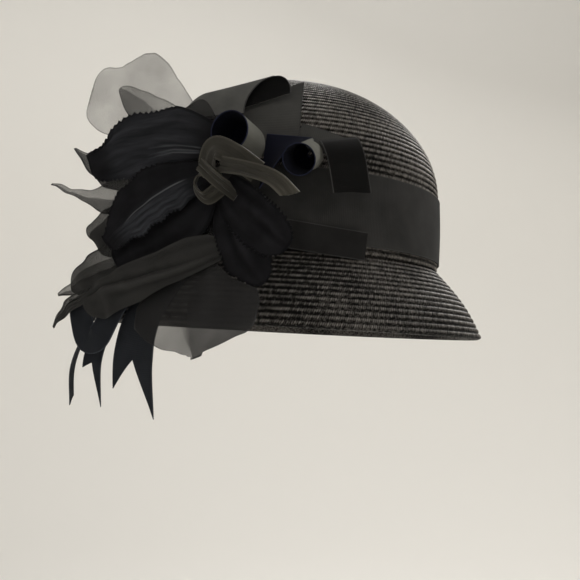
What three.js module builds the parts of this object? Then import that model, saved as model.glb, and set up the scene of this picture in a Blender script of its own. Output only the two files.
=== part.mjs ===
// A straw derby hat: round crown, turned-down brim and grosgrain band, with a side trim of velvet and
// organza petals, ribbon loops, streamers and a silk knot.
// Millimetres, +Z up. The front of the hat faces -Y and +X is the right of someone who looks at it.
// The origin is the centre of the headline, where the crown meets the brim and a head carries the hat.
import * as THREE from 'three';
import { LoftGeometry } from 'three/addons/geometries/LoftGeometry.js';

// Driving sizes of the hat body: half widths are measured along X and the oval is longer along Y.
const OVAL = 1.16;
const HEADLINE_HALF_WIDTH = 84.8;
const WALL_HEIGHT = 38.5;
const WALL_BULGE = 0.6;
const DOME_HALF_WIDTH = 84;
const DOME_TOP = 102;
const DOME_ROUNDNESS = 1.98;
const RIM_HALF_WIDTH = 109.5;
const BRIM_DROP = 34.5;
const BRIM_BELL = 0.11;
const STRAW = 2.2;
const BAND = { bottom: 4, top: 38, thickness: 1.1 };
const GAP = 0.3;

// Cloth walls and the steps that the facets are cut in.
const PETAL_WALL = 1;
const RIBBON_WALL = 1;
const STEPS = { round: 48, dome: 11, wall: 3, brim: 6, petalLong: 9, petalWide: 6, loop: 16, ribbon: 11 };

const FINISHES = {
  straw: { color: 0x26231f, roughness: 0.55 },
  grosgrain: { color: 0x1d1d1f, roughness: 0.8 },
  navy: { color: 0x141621, roughness: 0.6 },
  velvet: { color: 0x1b1b1f, roughness: 0.95 },
  organza: { color: 0x3a3a3d, roughness: 0.7 },
  silk: { color: 0x4b463c, roughness: 0.5 },
};

// Seats of the trim: a bearing from the front, positive to the right, a height on the crown, and how far
// the seat's plane leans back. In a seat u runs to the right, v up and w straight out.
const SEATS = {
  heart: { turn: -21, height: 36, lean: 0 },
  front: { turn: 6, height: 21, lean: 0 },
  dome: { turn: -4, height: 44, lean: 33 },
};

// Petals: three places on the midrib, the width, where along it the petal is widest, how blunt its tip is
// (1 pointed, 2 round, 3 square), the dish of its face, the waves of its edge and the twist of its tip.
const PETALS = [
  { name: 'organza_petal_top_outer', cloth: 'organza',
    root: [-5, 6, 1.2], mid: [-38, 26, 0], tip: [-69, 41, 2],
    rootWide: 12, wide: 52, widest: 0.62, blunt: 2.7, dish: 3, wave: 1.5, waves: 1.5, twist: 0 },
  { name: 'organza_petal_top_inner', cloth: 'organza',
    root: [-4, 7, 2.6], mid: [-28, 21, 8], tip: [-51, 38, 10],
    rootWide: 8, wide: 20, widest: 0.5, blunt: 1.6, dish: 2, wave: 1, waves: 1, twist: 15 },
  { name: 'organza_petal_top_small', cloth: 'organza',
    root: [-2, 7, 8.9], mid: [-7, 17, 9.6], tip: [-12, 28, 10.5],
    rootWide: 8, wide: 18, widest: 0.6, blunt: 2.4, dish: 1, wave: 0.6, waves: 1.5, twist: 0 },
  { name: 'velvet_petal_upper', cloth: 'velvet',
    root: [2, 7, 11], mid: [-30, 11, 16], tip: [-61, 2, 19],
    rootWide: 17, wide: 32, widest: 0.55, blunt: 2.8, dish: 3, wave: 1.2, waves: 2, twist: 0 },
  { name: 'velvet_petal_middle', cloth: 'velvet',
    root: [0, -5, 13.4], mid: [-21, -16, 20.5], tip: [-44, -38, 24],
    rootWide: 14, wide: 29, widest: 0.55, blunt: 2.8, dish: 4, wave: 1.2, waves: 2, twist: 0 },
  { name: 'velvet_petal_lower', cloth: 'velvet',
    root: [0, -9, 10.9], mid: [-14, -27, 16.5], tip: [-43, -43, 19.5],
    rootWide: 12, wide: 27, widest: 0.55, blunt: 3, dish: 2, wave: 0.6, waves: 2, twist: 0 },
  { name: 'velvet_petal_right', cloth: 'velvet',
    root: [9, -10, 13.2], mid: [28, -26, 25.2], tip: [48, -40, 28],
    rootWide: 12, wide: 22, widest: 0.6, blunt: 2.4, dish: 2, wave: 0.8, waves: 1.5, twist: 0 },
  { name: 'velvet_petal_right_low', cloth: 'velvet',
    root: [7.5, -14, 9], mid: [22, -34, 22.5], tip: [37, -55, 26.5],
    rootWide: 12, wide: 24, widest: 0.6, blunt: 1.8, dish: 1, wave: 0.5, waves: 1.5, twist: 0 },
  { name: 'organza_petal_left_upper', cloth: 'organza',
    root: [-6, 1, 5], mid: [-48, -5, 5.5], tip: [-81, 13, 7],
    rootWide: 8, wide: 11, widest: 0.6, blunt: 1.2, dish: 1, wave: 0.8, waves: 2, twist: 60 },
  { name: 'organza_petal_left', cloth: 'organza',
    root: [-6, -2, 6.8], mid: [-50, -14, 10.4], tip: [-92, -7, 11],
    rootWide: 6, wide: 17, widest: 0.6, blunt: 1, dish: 2, wave: 0.8, waves: 1, twist: 40 },
  { name: 'organza_petal_left_low', cloth: 'organza',
    root: [-6, -6, 8.6], mid: [-36, -17, 16], tip: [-66, -30, 17],
    rootWide: 8, wide: 24, widest: 0.7, blunt: 3, dish: 2, wave: 0.8, waves: 1.5, twist: 0 },
  { name: 'organza_curl', cloth: 'organza',
    root: [-9, -17, 9.6], mid: [-38, -43, 16], tip: [-66, -57, 18.5],
    rootWide: 8, wide: 20, widest: 0.65, blunt: 2, dish: 4, wave: 0.4, waves: 1, twist: 0 },
  { name: 'organza_tip_upper', cloth: 'organza',
    root: [-38, -40, 14.2], mid: [-58, -53, 14.8], tip: [-78, -61, 14],
    rootWide: 7, wide: 11, widest: 0.5, blunt: 1.1, dish: 1, wave: 0.4, waves: 1, twist: 0 },
  { name: 'organza_tip_lower', cloth: 'organza',
    root: [-37, -59, 29.2], mid: [-55, -66, 28.5], tip: [-72, -75, 26],
    rootWide: 6, wide: 8, widest: 0.5, blunt: 1.1, dish: 1, wave: 0.4, waves: 1, twist: 20 },
  { name: 'organza_sweep', cloth: 'organza',
    root: [16, -38, 17.2], mid: [-12, -49, 26.3], tip: [-47, -62, 31.5],
    rootWide: 7, wide: 17, widest: 0.7, blunt: 2.2, dish: 2, wave: 0.4, waves: 1.5, twist: 0 },
  { name: 'organza_petal_front', cloth: 'organza',
    root: [6, -12, 6], mid: [7, -54, 21.5], tip: [9, -86, 42],
    rootWide: 12, wide: 61, widest: 0.72, blunt: 3, dish: 0, wave: 0.6, waves: 2, twist: 0 },
];

// Ribbon loops: an arc from a back edge near the hat to a front edge, with a straight lead-in and tail.
const LOOPS = [
  { name: 'ribbon_loop_top', cloth: 'grosgrain', seat: 'dome', back: [-33, 17, 7], backRadius: 4.5,
    front: [-7, 24.5, 15.5], frontRadius: 11, start: 260, sweep: -265, lead: 0, tail: 0 },
  { name: 'ribbon_loop_upper', cloth: 'navy', seat: 'heart', back: [13, 11, 1.4], backRadius: 9.5,
    front: [16, 8.5, 24], frontRadius: 9.5, start: 250, sweep: -325, lead: 0, tail: 0 },
  { name: 'ribbon_loop_right', cloth: 'navy', seat: 'front', back: [-1.5, 24, -0.65], backRadius: 7.5,
    front: [-7, 13.6, 20], frontRadius: 7.5, start: 90, sweep: -300, lead: 14, tail: 0 },
];

// Ribbons: a row for each place on the middle line, with the turn of the ribbon about that line
// (0 lies flat and faces out, 90 stands on edge). The two corners and the notch of the far end may differ.
const RIBBONS = [
  { name: 'ribbon_end_top', cloth: 'grosgrain', seat: 'dome', width: 27,
    ends: { left: 0, notch: -11, right: -22 },
    rows: [{ u: -4, v: 4, w: 1.2, turn: 0 }, { u: -4, v: 24, w: 7.8, turn: 0 },
      { u: -4, v: 40.2, w: 8.1, turn: 0 }] },
  { name: 'ribbon_end_right', cloth: 'grosgrain', seat: 'front', width: 13,
    ends: { left: 0, notch: 0, right: 0 },
    rows: [{ u: -12, v: -14, w: 1, turn: 0 }, { u: 8, v: -16, w: 1, turn: 0 },
      { u: 28, v: -17.5, w: -2, turn: 0 }] },
  { name: 'ribbon_end_side', cloth: 'grosgrain', seat: 'front', width: 12,
    ends: { left: 0, notch: 0, right: 0 },
    rows: [{ u: -2.8, v: 32.1, w: -4.7, turn: -19 }, { u: 5, v: 30.2, w: -3.9, turn: -19 },
      { u: 16, v: 27.3, w: -4.6, turn: -19 }] },
  { name: 'ribbon_loop_outer', cloth: 'grosgrain', seat: 'front', width: 14,
    ends: { left: 0, notch: 0, right: 0 },
    rows: [{ u: 13.5, v: 25.6, w: -1.25, turn: 0 }, { u: 13.8, v: 24.6, w: 3.6, turn: 0 },
      { u: 15.6, v: 18.4, w: 9.8, turn: 0 }, { u: 19, v: 4, w: 11, turn: 0 }] },
  { name: 'streamer_wide', cloth: 'grosgrain', seat: 'heart', width: 20,
    ends: { left: -9, notch: -20, right: 0 },
    rows: [{ u: -3, v: -8, w: 1.9, turn: 0 }, { u: -8, v: -32, w: 2.6, turn: 0 },
      { u: -11, v: -42, w: 6.7, turn: 18 }, { u: -15, v: -54, w: 16.9, turn: 22 },
      { u: -20, v: -70, w: 27, turn: 10 }, { u: -23, v: -88, w: 28, turn: 0 },
      { u: -21, v: -112, w: 28, turn: 0 }] },
  { name: 'streamer_narrow', cloth: 'grosgrain', seat: 'heart', width: 10,
    ends: { left: -14, notch: -16, right: 0 },
    rows: [{ u: -4, v: -7, w: 3.2, turn: 0 }, { u: -14, v: -32, w: 5.3, turn: 5 },
      { u: -20.5, v: -42, w: 8.8, turn: 20 }, { u: -32, v: -51, w: 13.2, turn: 26 },
      { u: -37, v: -62, w: 17.6, turn: 20 }, { u: -41, v: -76, w: 22, turn: 8 },
      { u: -44, v: -90, w: 23, turn: 0 }, { u: -44, v: -111, w: 23, turn: 0 }] },
  { name: 'streamer_edge', cloth: 'grosgrain', seat: 'heart', width: 9, ends: { left: 0, notch: 0, right: 0 },
    rows: [{ u: -4, v: -9, w: 4.6, turn: 0 }, { u: -23, v: -34, w: 7.6, turn: 10 },
      { u: -42, v: -50, w: 12.8, turn: 34 }, { u: -48, v: -64, w: 16.8, turn: 52 },
      { u: -52, v: -79, w: 20.5, turn: 75 }, { u: -58, v: -94, w: 20.5, turn: 75 },
      { u: -60, v: -111, w: 20.5, turn: 75 }] },
  { name: 'streamer_loop', cloth: 'grosgrain', seat: 'heart', width: 12,
    ends: { left: 0, notch: 0, right: 0 },
    rows: [{ u: -11, v: -16, w: 7, turn: 0 }, { u: -19, v: -36, w: 10.7, turn: 10 },
      { u: -25, v: -47, w: 14.9, turn: 26 }, { u: -30.5, v: -58, w: 22.5, turn: 28 },
      { u: -35, v: -70, w: 29.5, turn: 10 }, { u: -40, v: -86, w: 32, turn: 0 },
      { u: -46, v: -88, w: 29, turn: 0 }, { u: -52, v: -78, w: 26.5, turn: 0 },
      { u: -55, v: -66, w: 25.5, turn: 0 }] },
  { name: 'silk_loop_upper', cloth: 'silk', seat: 'heart', width: 10, ends: { left: 0, notch: 0, right: 0 },
    rows: [{ u: 4, v: -8, w: 15, turn: 0 }, { u: 5, v: -2, w: 22, turn: 0 },
      { u: 11, v: 2.5, w: 27.5, turn: 0 }, { u: 20, v: -1, w: 27.5, turn: 0 },
      { u: 28, v: -7, w: 20, turn: 0 }] },
  { name: 'silk_loop_left', cloth: 'silk', seat: 'heart', width: 8, ends: { left: 0, notch: 0, right: 0 },
    rows: [{ u: 9, v: -8, w: 24.2, turn: 60 }, { u: 3, v: -8, w: 25, turn: 60 },
      { u: 1, v: -13, w: 25, turn: 60 }, { u: 6, v: -18, w: 24.6, turn: 60 },
      { u: 12, v: -14, w: 22.6, turn: 60 }] },
  { name: 'silk_tail_right', cloth: 'silk', seat: 'heart', width: 7, ends: { left: 0, notch: 0, right: -5 },
    rows: [{ u: 15, v: -5, w: 29.4, turn: 0 }, { u: 28, v: -8, w: 31.6, turn: -20 },
      { u: 40, v: -12, w: 30, turn: -20 }, { u: 51, v: -20, w: 26, turn: 0 }] },
  { name: 'silk_tail_low', cloth: 'silk', seat: 'heart', width: 10, ends: { left: 0, notch: 0, right: 0 },
    rows: [{ u: 6, v: -5, w: 31.2, turn: 20 }, { u: 15, v: -12, w: 31.6, turn: 20 },
      { u: 23, v: -18, w: 27.5, turn: 10 }] },
];

const degrees = THREE.MathUtils.degToRad;
const lerp = THREE.MathUtils.lerp;

/** Half width of the crown's outside along X at a height above the headline. */
function crownHalfWidth(height) {
  if (height <= WALL_HEIGHT) {
    const share = height / WALL_HEIGHT;
    return lerp(HEADLINE_HALF_WIDTH, DOME_HALF_WIDTH, share) + 4 * WALL_BULGE * share * (1 - share);
  }
  const rise = (height - WALL_HEIGHT) / (DOME_TOP - WALL_HEIGHT);
  return DOME_HALF_WIDTH * (1 - rise ** DOME_ROUNDNESS) ** (1 / DOME_ROUNDNESS);
}

/** A profile of half widths and heights turned round the hat's axis into an oval solid. */
function ovalSolid(profile) {
  return new THREE.LatheGeometry(profile, STEPS.round).rotateX(Math.PI / 2).scale(1, OVAL, 1);
}

/** The crown: a wall and a dome of straw, open below. */
function crownGeometry() {
  const outside = [];
  for (let step = 0; step < STEPS.wall; step++) {
    const height = (WALL_HEIGHT * step) / STEPS.wall;
    outside.push(new THREE.Vector2(crownHalfWidth(height), height));
  }
  for (let step = 0; step < STEPS.dome; step++) {
    const slope = ((Math.PI / 2) * step) / STEPS.dome;
    const height = WALL_HEIGHT + (DOME_TOP - WALL_HEIGHT) * Math.sin(slope);
    outside.push(new THREE.Vector2(crownHalfWidth(height), height));
  }
  const shrink = (DOME_TOP - STRAW) / DOME_TOP;
  const inside = outside.map((point) => new THREE.Vector2(point.x - STRAW, point.y * shrink)).reverse();
  inside.forEach((point) => { point.x = Math.max(point.x, 0); });
  const innerTop = new THREE.Vector2(0, DOME_TOP - STRAW);
  const outerTop = new THREE.Vector2(0, DOME_TOP);
  return ovalSolid([innerTop, ...inside, ...outside, outerTop]);
}

/** The brim: a straw bell that starts just under the crown and turns down to the rim. */
function brimGeometry() {
  const outside = [];
  for (let step = STEPS.brim; step >= 0; step--) {
    const share = step / STEPS.brim;
    const bell = share + BRIM_BELL * Math.sin(Math.PI * share);
    const halfWidth = lerp(HEADLINE_HALF_WIDTH, RIM_HALF_WIDTH, bell);
    outside.push(new THREE.Vector2(halfWidth, -GAP - (BRIM_DROP - GAP) * share));
  }
  const inside = outside.map((point) => new THREE.Vector2(point.x - STRAW, point.y)).reverse();
  return ovalSolid([...outside, ...inside, outside[0].clone()]);
}

/** The grosgrain band round the foot of the crown. */
function bandGeometry() {
  const inside = [];
  for (let step = STEPS.wall; step >= 0; step--) {
    const height = lerp(BAND.bottom, BAND.top, step / STEPS.wall);
    inside.push(new THREE.Vector2(crownHalfWidth(height) + GAP, height));
  }
  const outside = inside.map((point) => new THREE.Vector2(point.x + BAND.thickness, point.y)).reverse();
  return ovalSolid([...outside, ...inside, outside[0].clone()]);
}

/** A seat's frame as a matrix: its place on the outside of the band, and its right, up and outward axes. */
function seatMatrix({ turn, height, lean }) {
  const angle = degrees(turn);
  const halfWidth = crownHalfWidth(height) + GAP + BAND.thickness;
  const place = new THREE.Vector3(halfWidth * Math.sin(angle), -OVAL * halfWidth * Math.cos(angle), height);
  const right = new THREE.Vector3(Math.cos(angle), OVAL * Math.sin(angle), 0).normalize();
  const level = new THREE.Vector3(right.y, -right.x, 0);
  const outward = level.multiplyScalar(Math.cos(degrees(lean)));
  outward.z = Math.sin(degrees(lean));
  const up = new THREE.Vector3().crossVectors(outward, right);
  return new THREE.Matrix4().makeBasis(right, up, outward).setPosition(place);
}

const seatMatrices = Object.fromEntries(
  Object.entries(SEATS).map(([name, seat]) => [name, seatMatrix(seat)]),
);

/** A closed thin solid about a middle face, which is a function of two shares from 0 to 1. */
function sheetSolid(face, longSteps, wideSteps, wall) {
  const nudge = 1e-3;
  const ring = (long, thickness) => {
    const front = [];
    const back = [];
    for (let step = 0; step <= wideSteps; step++) {
      const wide = step / wideSteps;
      const alongFace = face(Math.min(long + nudge, 1), wide).sub(face(Math.max(long - nudge, 0), wide));
      const acrossFace = face(long, Math.min(wide + nudge, 1)).sub(face(long, Math.max(wide - nudge, 0)));
      const offset = acrossFace.cross(alongFace).setLength(thickness / 2);
      front.push(face(long, wide).add(offset));
      back.push(face(long, wide).sub(offset));
    }
    return [...front, ...back.reverse()];
  };
  const sections = [ring(0, 0)];
  for (let step = 0; step <= longSteps; step++) {
    sections.push(ring(step / longSteps, wall));
  }
  sections.push(ring(1, 0));
  return new LoftGeometry(sections);
}

/** The direction across a sheet that runs along a tangent, turned from flat (0) to on edge (90 degrees). */
function acrossDirection(tangent, turn) {
  const flat = new THREE.Vector3(0, 0, 1).cross(tangent).normalize();
  return flat.applyAxisAngle(tangent, turn);
}

/** Half the width of a petal at a share of its length. */
function petalHalfWidth({ rootWide, wide, widest, blunt }, long) {
  if (long < widest) {
    return lerp(rootWide, wide, Math.sin((Math.PI / 2) * (long / widest))) / 2;
  }
  const past = (long - widest) / (1 - widest);
  const tipWide = 3;
  return lerp(tipWide, wide, (1 - past ** blunt) ** (1 / blunt)) / 2;
}

/** A petal: a dished, wavy sheet on a bent midrib. */
function petalGeometry(petal) {
  const [root, mid, tip] = [petal.root, petal.mid, petal.tip].map((place) => new THREE.Vector3(...place));
  const pull = mid.clone().multiplyScalar(2).addScaledVector(root, -0.5).addScaledVector(tip, -0.5);
  const midrib = new THREE.QuadraticBezierCurve3(root, pull, tip);
  const face = (share, wide) => {
    const long = Math.sin((Math.PI / 2) * share);
    const side = 2 * wide - 1;
    const tangent = midrib.getTangent(long);
    const across = acrossDirection(tangent, degrees(petal.twist) * long ** 2);
    const outward = new THREE.Vector3().crossVectors(tangent, across);
    const edgeWave = petal.wave * Math.sin(2 * Math.PI * petal.waves * long + side) * Math.abs(side) * long;
    const rise = petal.dish * side ** 2 * long + edgeWave;
    return midrib.getPoint(long)
      .addScaledVector(across, side * petalHalfWidth(petal, long))
      .addScaledVector(outward, rise);
  };
  return sheetSolid(face, STEPS.petalLong, STEPS.petalWide, PETAL_WALL).applyMatrix4(seatMatrices.heart);
}

/** A ribbon loop: two like arcs, one at the hat and one further out, with the ribbon drawn between them. */
function loopGeometry(loop) {
  const edgePlace = (centre, radius, share) => {
    const arcLength = radius * degrees(Math.abs(loop.sweep));
    const travel = share * (loop.lead + arcLength + loop.tail) - loop.lead;
    const onArc = THREE.MathUtils.clamp(travel, 0, arcLength);
    const heading = Math.sign(loop.sweep);
    const angle = degrees(loop.start) + (heading * onArc) / radius;
    const tangent = new THREE.Vector3(-Math.sin(angle), Math.cos(angle), 0).multiplyScalar(heading);
    return new THREE.Vector3(Math.cos(angle), Math.sin(angle), 0).multiplyScalar(radius)
      .add(new THREE.Vector3(...centre))
      .addScaledVector(tangent, travel - onArc);
  };
  const face = (share, wide) => {
    const back = edgePlace(loop.back, loop.backRadius, share);
    return back.lerp(edgePlace(loop.front, loop.frontRadius, share), wide);
  };
  return sheetSolid(face, STEPS.loop, 1, RIBBON_WALL).applyMatrix4(seatMatrices[loop.seat]);
}

/** A ribbon along a middle line, with its far end cut to a notch between two corners. */
function ribbonGeometry({ rows, width, ends, seat }) {
  const line = new THREE.CatmullRomCurve3(rows.map(({ u, v, w }) => new THREE.Vector3(u, v, w)));
  const length = line.getLength();
  const turnAt = (long) => {
    const row = Math.min(Math.floor(long * (rows.length - 1)), rows.length - 2);
    return degrees(lerp(rows[row].turn, rows[row + 1].turn, long * (rows.length - 1) - row));
  };
  const endCut = (side) => lerp(ends.notch, side < 0 ? ends.left : ends.right, Math.abs(side));
  const face = (share, wide) => {
    const side = 2 * wide - 1;
    const long = share * (1 + endCut(side) / length);
    const across = acrossDirection(line.getTangent(long), turnAt(long));
    return line.getPoint(long).addScaledVector(across, (side * width) / 2);
  };
  return sheetSolid(face, STEPS.ribbon, 2, RIBBON_WALL).applyMatrix4(seatMatrices[seat]);
}

/** A named mesh in one of the finishes. */
function piece(name, geometry, cloth) {
  const mesh = new THREE.Mesh(geometry, new THREE.MeshStandardMaterial({ ...FINISHES[cloth], metalness: 0 }));
  mesh.name = name;
  return mesh;
}

const hatBody = new THREE.Group();
hatBody.add(piece('crown', crownGeometry(), 'straw'));
hatBody.add(piece('brim', brimGeometry(), 'straw'));
hatBody.add(piece('hat_band', bandGeometry(), 'grosgrain'));

const trim = new THREE.Group();
PETALS.forEach((petal) => trim.add(piece(petal.name, petalGeometry(petal), petal.cloth)));
LOOPS.forEach((loop) => trim.add(piece(loop.name, loopGeometry(loop), loop.cloth)));
RIBBONS.forEach((ribbon) => trim.add(piece(ribbon.name, ribbonGeometry(ribbon), ribbon.cloth)));

const derbyHat = new THREE.Group();
derbyHat.add(hatBody, trim);

export default derbyHat;
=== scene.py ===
"""A derby hat of sewn straw braid with a side trim of petals, ribbons and a silk knot.

The frame is in metres with +Z up and the front towards -Y. Sizes in the tables are millimetres.
"""
import logging
import math
from dataclasses import dataclass, replace
from enum import Enum
from typing import Any, Callable

import bpy
import numpy as np
from mathutils import Matrix, Vector


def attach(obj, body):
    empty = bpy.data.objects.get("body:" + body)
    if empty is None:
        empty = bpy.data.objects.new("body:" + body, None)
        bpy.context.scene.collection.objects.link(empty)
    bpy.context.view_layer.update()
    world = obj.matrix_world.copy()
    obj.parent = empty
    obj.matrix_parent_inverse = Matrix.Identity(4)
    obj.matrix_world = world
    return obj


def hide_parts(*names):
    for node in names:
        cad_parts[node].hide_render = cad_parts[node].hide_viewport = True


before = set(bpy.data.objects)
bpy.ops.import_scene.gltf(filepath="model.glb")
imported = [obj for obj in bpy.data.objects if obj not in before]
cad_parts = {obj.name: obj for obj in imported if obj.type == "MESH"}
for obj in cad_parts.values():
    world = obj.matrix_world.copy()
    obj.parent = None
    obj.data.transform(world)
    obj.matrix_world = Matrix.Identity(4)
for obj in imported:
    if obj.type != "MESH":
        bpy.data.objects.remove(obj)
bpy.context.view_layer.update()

LOG = logging.getLogger("derby_hat")
MM = 0.001
BODY = "root"
UP = (0.0, 0.0, 1.0)
SHARP_ANGLE = math.radians(60)

# Short names for types that recur
Place = tuple[float, float, float]
Colour = tuple[float, float, float]
Triple = tuple[float, float, float]
Pair = tuple[float, float]
Socket = bpy.types.NodeSocket
Node = bpy.types.Node
Tree = bpy.types.NodeTree
Material = bpy.types.Material
Piece = bpy.types.Object


class SeatName(Enum):
    """The places on the crown that the trim is sewn to."""

    HEART = "heart"
    FRONT = "front"
    DOME = "dome"


class Slot(Enum):
    """The material slots of the record."""

    STRAW = "straw"
    GROSGRAIN = "grosgrain"
    NAVY = "navy_ribbon"
    VELVET = "velvet"
    ORGANZA = "organza"
    SILK = "silk"


class Cloth(Enum):
    """The cloths that the hat is made of, each with a finish of its own."""

    STRAW = "dyed_straw"
    GROSGRAIN = "black_grosgrain"
    NAVY = "navy_grosgrain"
    STREAMER = "blue_black_grosgrain"
    VELVET = "black_velvet"
    SHEER = "sheer_organza"
    SOFT = "doubled_organza"
    DENSE = "gathered_organza"
    SILK = "olive_silk"


class Hold(Enum):
    """How a sheet of cloth is held."""

    LAID = "laid"
    HUNG = "hung"
    GATHERED = "gathered"
    FOLDED = "folded"


class Edge(Enum):
    """How the edge of a petal is finished."""

    PINKED = "pinked"
    HEMMED = "hemmed"


def unit(vectors: np.ndarray) -> np.ndarray:
    """Vectors scaled to a length of one along their last axis."""
    return vectors / np.linalg.norm(vectors, axis=-1, keepdims=True).clip(1e-12)


def mix(first: Any, second: Any, share: Any) -> Any:
    """The value at a share of the way from the first to the second."""
    return first + (second - first) * share


def ramp(value: np.ndarray, low: float, high: float) -> np.ndarray:
    """A smooth step from 0 at low to 1 at high."""
    share = np.clip((value - low) / (high - low), 0, 1)
    return share * share * (3 - 2 * share)


def travelled(line: np.ndarray) -> np.ndarray:
    """The way along a line of points, from 0 at its first."""
    return np.concatenate([[0], np.cumsum(np.linalg.norm(np.diff(line, axis=0), axis=1))])


def tinted(colour: Colour, factor: float = 1.0) -> tuple[float, ...]:
    """A colour made lighter or darker by a factor, as a shader takes it."""
    return (*[part * factor for part in colour], 1.0)


@dataclass(frozen=True)
class HatForm:
    """Driving sizes of the hat body, in millimetres. Half widths lie along X."""

    oval: float = 1.16
    headline_half_width: float = 84.8
    wall_height: float = 38.5
    wall_bulge: float = 0.6
    dome_half_width: float = 84.0
    dome_top: float = 102.0
    dome_roundness: float = 1.98
    rim_half_width: float = 109.5
    brim_drop: float = 34.5
    brim_bell: float = 0.11
    straw: float = 2.2
    band_bottom: float = 4.0
    band_top: float = 38.0
    band_thickness: float = 1.1
    gap: float = 0.3

    def crown_half_width(self, height: np.ndarray) -> np.ndarray:
        """Half width of the crown's outside.

        Args:
            height: Heights above the headline.

        Returns:
            The half width along X at each height.
        """
        height = np.asarray(height, float)
        share = np.clip(height / self.wall_height, 0, 1)
        wall = mix(self.headline_half_width, self.dome_half_width, share)
        wall = wall + 4 * self.wall_bulge * share * (1 - share)
        rise = np.clip((height - self.wall_height) / (self.dome_top - self.wall_height), 0, 1)
        power = self.dome_roundness
        dome = self.dome_half_width * (1 - rise**power) ** (1 / power)
        return np.where(height <= self.wall_height, wall, dome)

    def brim_profile(self, share: np.ndarray) -> np.ndarray:
        """Outside of the brim.

        Args:
            share: Shares of the way from the headline to the rim.

        Returns:
            Half widths and heights, one row for each share.
        """
        bell = share + self.brim_bell * np.sin(np.pi * share)
        half_width = mix(self.headline_half_width, self.rim_half_width, bell)
        return np.stack([half_width, -self.gap - (self.brim_drop - self.gap) * share], -1)

    def crown_profile(self, steps: int) -> np.ndarray:
        """Outside of the crown from the headline to the top.

        Args:
            steps: How many steps the wall has. The dome has three times as many.

        Returns:
            Half widths and heights, one row for each step.
        """
        wall = np.linspace(0, self.wall_height, steps, endpoint=False)
        slope = np.linspace(0, np.pi / 2, 3 * steps)
        dome = self.wall_height + (self.dome_top - self.wall_height) * np.sin(slope)
        height = np.concatenate([wall, dome])
        return np.stack([self.crown_half_width(height), height], -1)


HAT = HatForm()


@dataclass(frozen=True)
class Seat:
    """A place on the crown: its bearing from the front, its height and the lean of its plane."""

    turn: float
    height: float
    lean: float

    def frame(self) -> tuple[np.ndarray, np.ndarray]:
        """Where the seat is and how it faces.

        Returns:
            Its place in millimetres, and its right, up and outward axes as rows.
        """
        angle, lean = math.radians(self.turn), math.radians(self.lean)
        half_width = float(HAT.crown_half_width(self.height)) + HAT.gap + HAT.band_thickness
        place = [half_width * math.sin(angle), -HAT.oval * half_width * math.cos(angle), self.height]
        right = unit(np.array([math.cos(angle), HAT.oval * math.sin(angle), 0.0]))
        outward = np.array([right[1], -right[0], 0.0]) * math.cos(lean)
        outward[2] = math.sin(lean)
        return np.array(place), np.stack([right, np.cross(outward, right), outward])

    def place(self, points: np.ndarray) -> np.ndarray:
        """Points of the seat, in millimetres, as points of the hat in metres."""
        origin, axes = self.frame()
        return (points @ axes + origin) * MM


SEATS = {
    SeatName.HEART: Seat(-21, 36, 0),
    SeatName.FRONT: Seat(6, 21, 0),
    SeatName.DOME: Seat(-4, 44, 33),
}


class NodeSheet:
    """A node tree with short calls that add nodes and join their sockets."""

    def __init__(self, tree: Tree) -> None:
        """Keep the tree that the nodes go into."""
        self.tree = tree

    def feed(self, socket: Socket, value: Any) -> None:
        """Join a socket to a value where that is a socket, or set it to the value.

        Args:
            socket: The input to feed.
            value: A socket, or a plain value.
        """
        if isinstance(value, Socket):
            self.tree.links.new(value, socket)
        else:
            socket.default_value = value

    def add(self, kind: str, inputs: dict[Any, Any] | None = None, **settings: Any) -> Node:
        """Add a node.

        Args:
            kind: The node's type name.
            inputs: Values or sockets for its inputs, by name or index.
            settings: Properties of the node itself.

        Returns:
            The new node.
        """
        node = self.tree.nodes.new(kind)
        for key, value in settings.items():
            setattr(node, key, value)
        for key, value in (inputs or {}).items():
            self.feed(node.inputs[key], value)
        return node

    def math(self, operation: str, *values: Any) -> Socket:
        """The result of a math operation on values or sockets."""
        return self.add("ShaderNodeMath", dict(enumerate(values)), operation=operation).outputs[0]

    def span(self, value: Any, low: float, high: float, to_low: Any, to_high: Any) -> Socket:
        """A value carried from one range to another, held at its ends."""
        ends = {0: value, 1: low, 2: high, 3: to_low, 4: to_high}
        return self.add("ShaderNodeMapRange", ends).outputs[0]

    def between(self, share: Any, low: float, high: float) -> Socket:
        """The value at a share of the way from low to high, held at its ends."""
        return self.span(share, 0.0, 1.0, low, high)

    def blend(self, share: Any, first: Any, second: Any) -> Socket:
        """A colour at a share of the way from the first to the second."""
        return self.add("ShaderNodeMix", {0: share, 6: first, 7: second}, data_type="RGBA").outputs[2]

    def scale(self, colour: Any, factor: Any) -> Socket:
        """A colour made lighter or darker by a factor."""
        return self.add("ShaderNodeVectorMath", {0: colour, 3: factor}, operation="SCALE").outputs[0]

    def stretch(self, vector: Any, factors: Place) -> Socket:
        """A vector with a factor of its own on each part."""
        return self.add("ShaderNodeVectorMath", {0: vector, 1: factors}, operation="MULTIPLY").outputs[0]

    def part(self, vector: Any, axis: int) -> Socket:
        """One part of a vector."""
        return self.add("ShaderNodeSeparateXYZ", {0: vector}).outputs[axis]

    def vector(self, name: str) -> Socket:
        """A vector attribute of the mesh."""
        return self.add("ShaderNodeAttribute", attribute_name=name).outputs["Vector"]

    def value(self, name: str) -> Socket:
        """A number attribute of the mesh."""
        return self.add("ShaderNodeAttribute", attribute_name=name).outputs["Fac"]


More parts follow.
